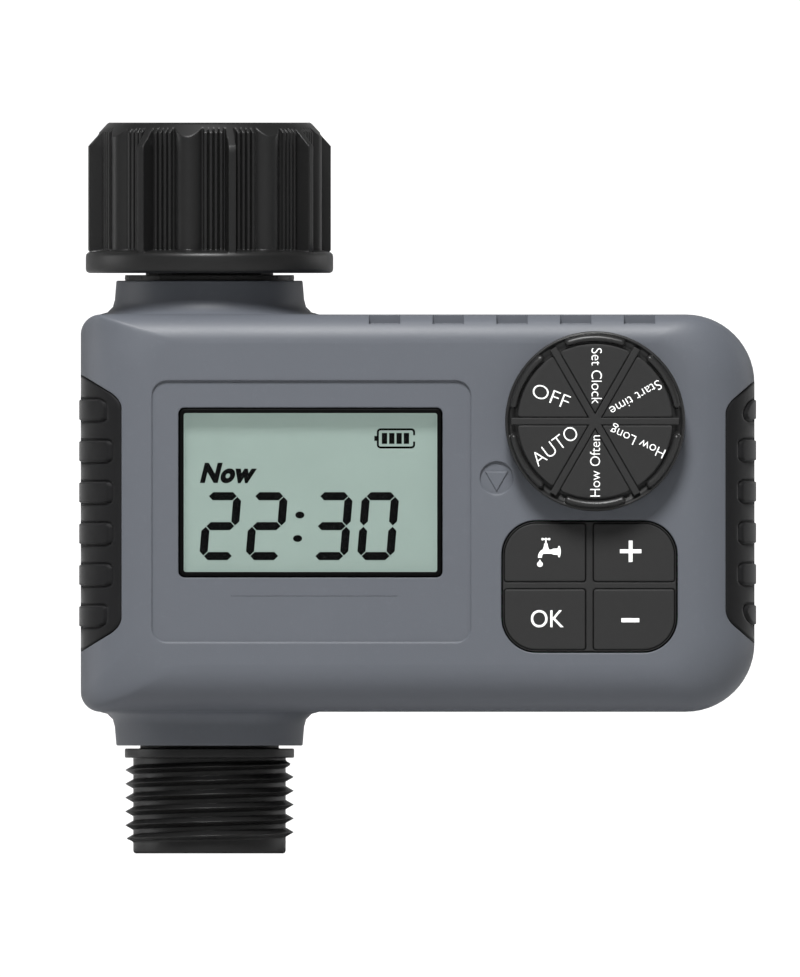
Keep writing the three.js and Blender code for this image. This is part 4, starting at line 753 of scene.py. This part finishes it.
def swivel_nut():
    """The nut: for each height the smaller of the grip pattern and the top chamfer's cone, over a plain ring with
    rounded edges, and inside it a hose thread, a triangle wave of height that climbs as the angle grows."""
    build = Build()
    angle = np.linspace(0, 360, 1152, endpoint=False)[None, :]
    walls = [np.linspace(-4.4, 12.2, 12), np.linspace(12.4, 15.75, 30)]
    height = np.concatenate(walls)[:, None]
    cone = NUT_CHAMFER + (NUT_TOP - height) * NUT_CHAMFER_DROP
    grip = np.minimum(nut_pattern(angle) + 0 * height, cone)
    ring_z = np.array([-8.1, -8.1, -7.9, -7.5, -5.5, -5.1, -4.8, -4.7])[:, None]
    ring_r = np.array([15.0, 19.2, 19.65, 19.8, 19.8, 19.72, 19.45, 19.1])[:, None]
    shoulder = np.maximum(ring_r + 0 * angle, np.where(ring_z > -5.6, np.minimum(nut_pattern(angle), 19.45), 0))
    lip_z, lip_r = np.array([15.93, 16.0, 16.0])[:, None], np.array([16.2, 16.05, 15.4])[:, None]
    radius = np.vstack([shoulder, grip, lip_r + 0 * angle])
    height = np.vstack([ring_z, height, lip_z]) + 0 * angle
    turn = np.radians(angle)
    outside = build.add(np.stack([radius * np.sin(turn), -radius * np.cos(turn), height], -1))
    build.grid(outside, close_columns=True)
    turn = np.linspace(0, TAU, 120, endpoint=False)[None, :]
    height = np.linspace(-2.4, 15.1, 118)[:, None]
    wave = np.abs(((height / HOSE_PITCH - turn / TAU) % 1) - 0.5) * 2
    depth = 0.75 * smooth(wave, 0.12, 0.88) * smooth(height, -2.2, -1.2) * smooth(15.0 - height, 0, 1.5)
    radius = 13.35 + depth
    bottom_z = np.array([-8.1, -5.4, -5.3, -5.3, -5.2])[:, None] + 0 * turn
    bottom_r = np.array([10.55, 10.55, 10.7, 13.2, 13.35])[:, None] + 0 * turn
    top_r = np.array([13.9, 14.6])[:, None] + 0 * turn
    top_z = np.array([15.5, 16.0])[:, None] + 0 * turn
    radius, height = np.vstack([bottom_r, radius, top_r]), np.vstack([bottom_z, height + 0 * turn, top_z])
    inside = build.add(np.stack([radius * np.sin(turn), -radius * np.cos(turn), height], -1))
    build.grid(inside, close_columns=True)
    build.cap(outside[0], inside[0])
    build.cap(outside[-1], inside[-1])
    build.piece("swivel_nut_skin", FITTING, "nut", ["swivel_nut"], sharp=50)


SPIGOT_LO, SPIGOT_HI = box_mm("outlet_spigot")
THREAD_ROOT, THREAD_RISE, THREAD_SPAN, TOOTH = 12.2, 1.29, (-85.65, -99.35), 0.735


def outlet():
    """The spigot: neck, flange, a sharp right-hand hose thread that grows out of the root and dies away, plain end.
    The thread's radius is the root plus a clipped triangle wave of height less the angle's share of the pitch."""
    build = Build()
    turn = np.linspace(0, TAU, 180, endpoint=False)[None, :]
    start, end = THREAD_SPAN
    height = np.arange(start - 0.05, end, -0.0765)[:, None]
    wave = 1 - np.abs(((height + 0.35) / HOSE_PITCH - (turn - 0.5 * math.pi) / TAU) % 1 - 0.5) * 2
    tooth = np.clip((1 - wave) * HOSE_PITCH / 2 - 0.36, 0, TOOTH) / TOOTH
    fade = smooth(start - height, 0.1, 1.5) * smooth(height - end, 0.0, 1.0)
    radius = THREAD_ROOT + THREAD_RISE * np.minimum(tooth, 0.985) * fade
    above = [(11.0, -80.0), (11.1, -84.1), (11.3, -84.15), (13.35, -84.15), (13.5, -84.22), (13.55, -84.35)]
    above += [(13.55, -85.45), (13.5, -85.58), (13.35, -85.65), (12.45, -85.65), (12.2, -85.68)]
    below = [(12.2, -99.4), (12.2, -100.5), (12.08, -100.8), (11.8, -100.95), (8.9, -100.95), (8.6, -100.75)]
    below += [(8.6, -88.3), (8.3, -87.9), (6.2, -87.6), (6.0, -87.4), (6.0, SPIGOT_HI[2]), (8.2, SPIGOT_HI[2])]
    below += [(8.4, SPIGOT_HI[2] - 0.2), (8.4, -80.2), (10.8, -80.0)]
    rows = [np.array(part)[:, :, None] + 0 * turn[None] for part in (above, below)]
    radius = np.vstack([rows[0][:, 0], radius, rows[1][:, 0]])
    height = np.vstack([rows[0][:, 1], height + 0 * turn, rows[1][:, 1]])
    skin = build.add(np.stack([radius * np.sin(turn), -radius * np.cos(turn), height], -1))
    build.grid(skin, close_rows=True, close_columns=True)
    build.piece("outlet_skin", FITTING, "housing", ["outlet_spigot"], sharp=28)


def neck_ring():
    """The black seat between the nut and the upper neck: a short ring under the valve body's flange."""
    build = Build()
    low, high = TOP + COLLAR_HEIGHT - 0.3, TOP + COLLAR_HEIGHT + 0.9
    inner, outer = COLLAR_BORE - 0.05, 13.5
    turned(build, [(inner, low), (outer, low), (outer, high), (inner, high)], steps=128)
    build.piece("inlet_neck_ring", FITTING, "housing")


# ------------------------------------------------------------------ dial
def spun(points, degrees, centre=(0.0, 0.0)):
    """Points in X and Z turned about the origin and then moved to a centre."""
    points, turn = np.asarray(points, float), math.radians(degrees)
    matrix = np.array([[math.cos(turn), math.sin(turn)], [-math.sin(turn), math.cos(turn)]])
    return points @ matrix + np.asarray(centre, float)


def dial_knob():
    """The knob: a turned cup with a soft rim, and six arc-shaped ridges along it, each a capsule whose round
    section shrinks to nothing at its two ends."""
    build = Build()
    middle, run_half, end_radius, wide, deep = 13.3, 4.95, 0.6, 0.62, 0.98
    profile = [(0, DIAL_FACE + 0.9), (12.7, DIAL_FACE + 0.9), (12.95, DIAL_FACE + 0.75), (13.7, DIAL_FACE + 0.55)]
    profile += [(13.95, DIAL_FACE + 0.15), (14.1, DIAL_FACE + 0.05), (14.28, DIAL_FACE + 0.12)]
    profile += [(14.38, DIAL_FACE + 0.3), (14.4, DIAL_FACE + 0.5), (14.4, DIAL_BACK - 0.35), (14.1, DIAL_BACK)]
    profile += [(0, DIAL_BACK)]
    turned(build, profile, (DIAL_X, 0, DIAL_Z), "y", 180)
    along = np.linspace(-1, 1, 49)[:, None]
    around = np.linspace(0, TAU, 20, endpoint=False)[None, :]
    run = run_half * along
    past_end = np.clip(np.abs(run) - run_half + end_radius, 0, end_radius) / end_radius
    size = np.sqrt(np.clip(1 - past_end**2, 1e-5, 1))
    for spoke in range(6):
        turn = math.radians(90 + 60 * spoke) + run / 13.25
        radius = middle + wide * size * np.cos(around)
        depth = DIAL_FACE + 0.25 - deep * size * np.sin(around)
        across, up = DIAL_X + radius * np.cos(turn), DIAL_Z + radius * np.sin(turn)
        numbers = build.add(np.stack([across, depth, up], -1))
        build.grid(numbers, close_columns=True)
        build.cap(numbers[0])
        build.cap(numbers[-1])
    # The knob takes the darker copy of the dial black, painted shade for its trough.
    build.piece("dial_knob_skin", DIAL_SHADED_BLACK, "dial", ["dial_knob"])


def dial_panels():
    """The face plate: six wedges with softened rims and between them a six-pointed spider of flush square bars."""
    build = Build()
    front, back = DIAL_FACE - 0.22, DIAL_FACE + 0.88
    bars, half, gap, rim = [], 0.55, 0.13, 12.4
    for turn in range(0, 360, 60):
        bars.append(spun([(13.45, -half), (13.45, half)], turn))
        bars.append(spun([(half / 0.5, 0)], turn + 30))
        inner = (half + gap) / 0.5
        lean = 60 * 0.5 - math.degrees(math.asin((half + gap) / rim))
        ends = np.radians(np.linspace(-lean + 1.2, lean - 1.2, 26))
        bow = np.stack([rim * np.cos(ends), rim * np.sin(ends)], -1)
        near = np.radians([lean, lean])
        soft = (rim - 0.25) * np.stack([np.cos(near), np.sin(near) * [1, -1]], -1)
        wedge = np.concatenate([[(inner, 0)], soft[1:], bow, soft[:1]])
        slab(build, polygon(spun(wedge, turn + 30, (DIAL_X, DIAL_Z))), front, back, 0.13, steps=3)
    spider = np.concatenate(bars) + np.array([DIAL_X, DIAL_Z])
    slab(build, polygon(spider), front - 0.01, back, 0.08, steps=2)
    build.piece("dial_panels", PANEL, "dial", ["dial_label_disc"])


# ------------------------------------------------------------------ lettering
def flat_text(words, width, cap_height, bold=0.0, slant=0.0, spacing=1.0):
    """Lettering as a flat mesh's points and triangles, centred, with its capitals and its length to size."""
    def outline(body):
        curve = bpy.data.curves.new("words", "FONT")
        curve.body, curve.offset, curve.space_character, curve.resolution_u = body, bold, spacing, 6
        held = bpy.data.objects.new("words", curve)
        bpy.context.scene.collection.objects.link(held)
        bpy.context.view_layer.update()
        mesh = bpy.data.meshes.new_from_object(held.evaluated_get(bpy.context.evaluated_depsgraph_get()))
        mesh.calc_loop_triangles()
        points = np.array([vertex.co[:2] for vertex in mesh.vertices])
        faces = np.array([list(triangle.vertices) for triangle in mesh.loop_triangles])
        bpy.data.objects.remove(held)
        bpy.data.meshes.remove(mesh)
        return points, faces

    capital = outline("H")[0]
    points, faces = outline(words)
    base, rise = capital[:, 1].min(), np.ptp(capital[:, 1])
    points[:, 1] = (points[:, 1] - base) / rise * cap_height - cap_height / 2
    points[:, 0] += slant * points[:, 1]
    low, span = points[:, 0].min(), np.ptp(points[:, 0])
    points[:, 0] = (points[:, 0] - low) / span * width - width / 2
    return points, faces


def raised_print(build, points, faces, y, thickness=0.03):
    """A flat figure in X and Z given a thin body: its faces in front, and walls down from its open edges."""
    front = build.add(at_depth(points, y - thickness))
    back = build.add(at_depth(points, y + 0.02))
    build.faces += front[faces].tolist()
    edges = np.concatenate([faces[:, [0, 1]], faces[:, [1, 2]], faces[:, [2, 0]]])
    _, place_of, uses = np.unique(np.sort(edges, 1), axis=0, return_inverse=True, return_counts=True)
    rim = edges[uses[place_of.reshape(-1)] == 1]
    build.faces += np.stack([front[rim[:, 1]], front[rim[:, 0]], back[rim[:, 0]], back[rim[:, 1]]], -1).tolist()
    build.faces += back[faces[:, ::-1]].tolist()


def figure(build, outline, y, thickness=0.03):
    """A flat figure from one outline of points in X and Z."""
    outline = np.asarray(outline, float)
    faces = tessellate_polygon([[Vector((x, z, 0)) for x, z in outline]])
    raised_print(build, outline, np.array([list(face) for face in faces]), y, thickness)


DIAL_WORDS = [
    ("Set Clock", 90, 7.24, -0.25, -90, 8.9, 1.62),
    ("Start time", 30, 7.5, 0.0, -150.3, 9.1, 1.52),
    ("How Long", -30, 7.5, 0.5, 155.2, 9.4, 1.52),
    ("How Often", -90, 7.15, 0.0, 90, 9.8, 1.55),
    ("AUTO", -150, 7.53, 0.16, 37, 8.3, 2.2),
    ("OFF", 150, 8.14, 0.04, -21, 6.1, 2.15),
]


def dial_words():
    """Six words printed on the wedges, each at its own distance and slant."""
    build = Build()
    for words, spoke, distance, aside, reading, width, cap in DIAL_WORDS:
        points, faces = flat_text(words, width, cap, -0.014 if cap > 2 else -0.008)
        middle = spun([(distance, aside)], spoke, (DIAL_X, DIAL_Z))[0]
        raised_print(build, spun(points, reading, middle), faces, DIAL_FACE - 0.22)
    build.piece("dial_words", INK, "dial")


# ------------------------------------------------------------------ keys
KEY_FRONT = FACE - 0.32
KEY_INSET, BAR_HALF = 0.36, 0.66
KEY_LOW, KEY_HIGH = KEYPAD_Z - 10.45 + KEY_INSET, KEYPAD_Z + 10.45 - KEY_INSET
KEY_SPLIT = KEYPAD_Z + 0.18
KEYS = {"manual": (-1, 1), "plus": (1, 1), "ok": (-1, -1), "minus": (1, -1)}


def key_outline(side, row, grow=0.0):
    """One key: a quarter of the pad, with the pad's big rounding on its outer corner and small ones elsewhere."""
    inner, outer = KEYPAD_X + side * BAR_HALF, KEYPAD_X + side * (13.95 - KEY_INSET)
    split, end = KEY_SPLIT + row * (BAR_HALF - 0.04), KEY_HIGH if row > 0 else KEY_LOW
    x0, x1, z0, z1 = min(inner, outer), max(inner, outer), min(split, end), max(split, end)
    big = {(-1, -1): 0, (1, -1): 1, (1, 1): 2, (-1, 1): 3}[(side, row)]
    radii = [(5.15 if corner == big else 0.42) + grow for corner in range(4)]
    return rounded_loop(x0 - grow, z0 - grow, x1 + grow, z1 + grow, [max(r, 0.03) for r in radii], 14)


def keys():
    """Four caps with softened rims on thin flanges, and the frame with its cross bars."""
    for name, (side, row) in KEYS.items():
        build = Build()
        slab(build, lambda grow=0.0: key_outline(side, row, grow), KEY_FRONT, FACE + 3.9, 0.16, 0.1)
        build.piece(f"key_{name}_cap", KEY, f"{name}_key", [f"key_{name}"])
    pad, openings = Build(), []
    slab(pad, rectangle(KEYPAD_X, KEYPAD_Z, 27.75, 20.75, 5.4, 14), FACE - 0.16, FACE + 3.3, 0.08, 0.05, steps=2)
    for side, row in KEYS.values():
        opening = Build()
        slab(opening, lambda grow=0.0: key_outline(side, row, 0.14 + grow), FACE - 1, FACE + 4, 0.02, steps=1)
        openings.append(opening.mesh("opening"))
    frame = carved(pad.mesh("key_frame_skin"), removed=openings)
    place("key_frame_skin", frame, KEY, "housing", ["key_frame"])


def arc_points(x, z, wide, high, start, end, steps=24):
    angle = arc(start, end, steps)
    return np.stack([x + wide * np.cos(angle), z + high * np.sin(angle)], -1)


def key_signs():
    """A tap with a drop, a plus, a minus and two letters, printed on the caps."""
    tap = (KEYPAD_X - 6.45, KEYPAD_Z + 5.42)
    parts = [
        arc_points(-1.05, 2.17, 0.2, 0.2, 0, 345),
        arc_points(0.0, 2.17, 0.2, 0.2, 0, 345),
        [(-1.05, 2.08), (0.0, 2.08), (0.0, 2.26), (-1.05, 2.26)],
        arc_points(-0.53, 2.2, 0.17, 0.2, 0, 345),
        [(-0.65, 1.4), (-0.41, 1.4), (-0.41, 2.2), (-0.65, 2.2)],
        [(-0.8, 1.5), (-0.26, 1.5), (-0.22, 1.1), (-0.02, 0.5), (-1.04, 0.5), (-0.84, 1.1)],
        [(-0.9, -0.16), (0.5, -0.16), (0.5, 0.5), (-0.9, 0.5)],
        [(0.35, -0.16), (0.6, -0.3), (1.5, -0.36), (1.5, 0.7), (0.6, 0.64), (0.35, 0.5)],
        arc_points(1.58, 0.17, 0.27, 0.93, 0, 345),
        np.concatenate([arc_points(-0.86, -0.82, 0.94, 1.34, 90, 180), arc_points(-0.86, -0.82, 0.3, 0.66, 180, 90)]),
        np.concatenate([arc_points(-1.48, -1.84, 0.46, 0.44, 150, 390),
                        [(-1.36, -1.3), (-1.48, -1.06), (-1.6, -1.3)]]),
    ]
    build = Build()
    for layer, part in enumerate(parts):
        figure(build, np.asarray(part, float) + tap, KEY_FRONT - 0.002 * layer)
    build.piece("key_manual_sign", INK, "manual_key")
    build = Build()
    x, z, arm, half = KEYPAD_X + 6.58, KEYPAD_Z + 5.65, 1.71, 0.31
    corner = [(arm, -half), (arm, half), (half, half)]
    figure(build, np.concatenate([spun(corner, turn, (x, z)) for turn in range(0, 360, 90)]), KEY_FRONT)
    build.piece("key_plus_sign", INK, "plus_key")
    build = Build()
    x, z, arm, half = KEYPAD_X + 6.53, KEYPAD_Z - 5.38, 1.43, 0.33
    figure(build, [(x - arm, z - half), (x + arm, z - half), (x + arm, z + half), (x - arm, z + half)], KEY_FRONT)
    build.piece("key_minus_sign", INK, "minus_key")
    build = Build()
    points, faces = flat_text("OK", 5.23, 2.7)
    raised_print(build, points + (KEYPAD_X - 6.77, KEYPAD_Z - 5.14), faces, KEY_FRONT)
    build.piece("key_ok_sign", INK, "ok_key")


# ------------------------------------------------------------------ display
CELL_FRONT = FACE + 2.35
SEGMENTS = {"2": "abged", "3": "abgcd", "0": "abcdef"}


def digit(build, left, bottom, shape):
    """A seven-segment digit that leans right: each bar is a long hexagon with pointed ends."""
    width, height, thick, gap, lean = 5.97, 10.88, 1.3, 0.1, math.tan(math.radians(4.75))
    low, mid, high = thick / 2, height / 2, height - thick / 2
    near, far = thick / 2, width - thick / 2
    ends = {
        "a": (near, high, far, high), "g": (near, mid, far, mid), "d": (near, low, far, low),
        "f": (near, mid, near, high), "b": (far, mid, far, high),
        "e": (near, low, near, mid), "c": (far, low, far, mid),
    }
    for name in shape:
        x0, z0, x1, z1 = ends[name]
        run = np.array([x1 - x0, z1 - z0]) / math.hypot(x1 - x0, z1 - z0)
        side, start, end = np.array([-run[1], run[0]]) * thick / 2, np.array([x0, z0]), np.array([x1, z1])
        start, end = start + run * gap, end - run * gap
        inset = run * thick / 2
        bar = np.array([start, start + inset - side, end - inset - side,
                        end, end - inset + side, start + inset + side])
        bar[:, 0] += lean * bar[:, 1]
        figure(build, bar + (left, bottom), CELL_FRONT)


def battery_sign(build, x0, z0, x1, z1):
    """A battery's outline with a nub on its left and four bars in it."""
    middle, stroke, opening = (z0 + z1) / 2, 0.33, 0.5
    loops = []
    for inset, radius in ((0, 0.6), (stroke, 0.3)):
        loop = rounded_loop(x0 + inset, z0 + inset, x1 - inset, z1 - inset, [radius] * 4, 5)
        right = x1 - inset
        loops.append([(right, middle + opening), *np.roll(loop, -12, 0), (right, middle - opening)])
    figure(build, np.concatenate([loops[0], loops[1][::-1]]), CELL_FRONT)
    square = [(x0 - 0.4, middle - 0.4), (x0, middle - 0.4), (x0, middle + 0.4), (x0 - 0.4, middle + 0.4)]
    figure(build, square, CELL_FRONT)
    for bar in range(4):
        left = x0 + 0.8 + 1.17 * bar
        low, high, right = z0 + 0.74, z1 - 0.74, left + 0.86
        figure(build, [(left, low), (right, low), (right, high), (left, high)], CELL_FRONT)


def display():
    """The black border, the silvery cell close behind the window, which glows with painted light, and what it shows."""
    build = Build()
    sight = rectangle(DISPLAY_X, DISPLAY_Z, 40.56, 25.4, 0.35, 4)
    slab(build, rectangle(DISPLAY_X, DISPLAY_Z, 41.9, 26.8, 0.9, 6), FACE + 0.2, FACE + 3.3, 0.12, 0.05, [sight])
    build.piece("display_border", BORDER, "housing", ["display_bezel"])
    build = Build()
    slab(build, rectangle(DISPLAY_X, DISPLAY_Z, 41.2, 26.0, 0.4, 3), CELL_FRONT, CELL_FRONT + 0.5, 0.03, steps=1)
    build.piece("display_cell", CRYSTAL, "housing")
    build = Build()
    for left, shape in zip((-1.70, 5.72, 16.12, 23.54), "2230"):
        digit(build, left, -54.02, SEGMENTS[shape])
    for x, z in ((14.46, -46.8), (14.1, -50.56)):
        figure(build, arc_points(x, z, 0.73, 0.55, 0, 350), CELL_FRONT)
    battery_sign(build, 26.77, -36.16, 32.9, -32.93)
    points, faces = flat_text("Now", 9.14, 3.23, 0.06, 0.065, 1.12)
    raised_print(build, points + (3.02, -40.06), faces, CELL_FRONT)
    build.piece("display_segments", SEGMENT, "housing")


def face_marks():
    """The pointer beside the dial, a flat triangle in its round bed, and a fine raised line under the display."""
    build = Build()
    corners = [(2.1 * math.cos(a), 2.1 * math.sin(a)) for a in np.radians([30, 150, 270])]
    slab(build, polygon(np.array(corners) + (POINTER_X, POINTER_Z)), FACE + 0.2, FACE + 0.45, 0.08, steps=2)
    slab(build, rectangle(16.76, -59.71, 26.6, 0.14, 0.05, 2), FACE + 0.36, FACE + 0.42, 0.02, steps=1)
    build.piece("face_marks", HOUSING, "housing")


# ------------------------------------------------------------------ studio
PAPER_GLOW, WORLD_STRENGTH = 1.32, 0.26
CAMERA_PLACE, CAMERA_SCALE = (0.03048, -3.5, -0.04256), 0.15632
LIGHT_AIM = Vector((0.03, 0, -0.045))
LIGHTS = [
    ("key_light", (-0.12, -1.3, 1.72), 0.75, 103),
    ("left_rim_light", (-1.7, 0.35, 0.2), 0.9, 7),
    ("right_rim_light", (1.6, 1.0, 0.2), 0.9, 3),
]


def studio():
    """A pale floor that curves up into a backdrop, soft lights, a level camera square to the face."""
    build = Build()
    across = np.linspace(-5000, 5000, 3)[None, :]
    curve = [(-6000, 0)] + [(1200 + 900 * math.sin(a), 900 * (1 - math.cos(a))) for a in arc(0, 90, 16)]
    curve = np.array(curve + [(2100, 6000), (2300, 6000), (2300, -600)])[:, :, None]
    floor_z = SPIGOT_LO[2] - 0.05
    numbers = build.add(np.stack([across + 0 * curve[:, 0], curve[:, 0] + 0 * across,
                                  floor_z + curve[:, 1] + 0 * across], -1))
    build.grid(numbers)
    paper = Finish("paper white", "white_plastic", Specular_IOR_Level=0.1)
    tone = paper.noise(400, 2)
    paper.feed(Base_Color=paper.colour(tone, srgb(186, 186, 186), srgb(190, 190, 190)), Roughness=0.9)
    glow = paper.node("Emission", None, {"Color": (1, 1, 1, 1), "Strength": PAPER_GLOW})
    seen = paper.node("LightPath", output="Is Camera Ray") * 0.8
    diffuse = Value(paper, paper.shader.outputs[0])
    lit = paper.node("MixShader", None, {0: seen, 1: diffuse, 2: glow})
    paper.join(lit, paper.tree.nodes["Material Output"].inputs["Surface"])
    mesh = build.mesh("studio_floor")
    if mesh.polygons[0].normal.z < 0:
        mesh.flip_normals()
    mesh.materials.append(paper.material)
    floor = bpy.data.objects.new("studio_floor", mesh)
    bpy.context.scene.collection.objects.link(floor)
    world = bpy.data.worlds.new("studio")
    world.use_nodes = True
    world.node_tree.nodes["Background"].inputs["Color"].default_value = (1, 1, 1, 1)
    world.node_tree.nodes["Background"].inputs["Strength"].default_value = WORLD_STRENGTH
    bpy.context.scene.world = world
    for name, place_m, size_m, watts in LIGHTS:
        light = bpy.data.lights.new(name, "AREA")
        light.shape, light.size, light.energy = "DISK", size_m, watts
        lamp = bpy.data.objects.new(name, light)
        lamp.location = place_m
        lamp.rotation_euler = (LIGHT_AIM - Vector(place_m)).to_track_quat("-Z", "Y").to_euler()
        bpy.context.scene.collection.objects.link(lamp)
    lens = bpy.data.cameras.new("camera")
    lens.type, lens.ortho_scale = "ORTHO", CAMERA_SCALE
    lens.clip_start, lens.clip_end = 0.1, 20
    camera = bpy.data.objects.new("camera", lens)
    camera.location = CAMERA_PLACE
    camera.rotation_euler = (math.pi / 2, 0, 0)
    bpy.context.scene.collection.objects.link(camera)
    bpy.context.scene.camera = camera
    bpy.context.scene.view_settings.view_transform = "Standard"


# ------------------------------------------------------------------ everything
paint_cad_nodes()
front_housing()
for side, side_name in ((-1, "left"), (1, "right")):
    grip_solid(side).piece(f"{side_name}_grip_skin", GRIP, "housing", [f"{side_name}_grip"], sharp=45)
swivel_nut()
outlet()
neck_ring()
dial_knob()
dial_panels()
dial_words()
keys()
key_signs()
display()
face_marks()
studio()
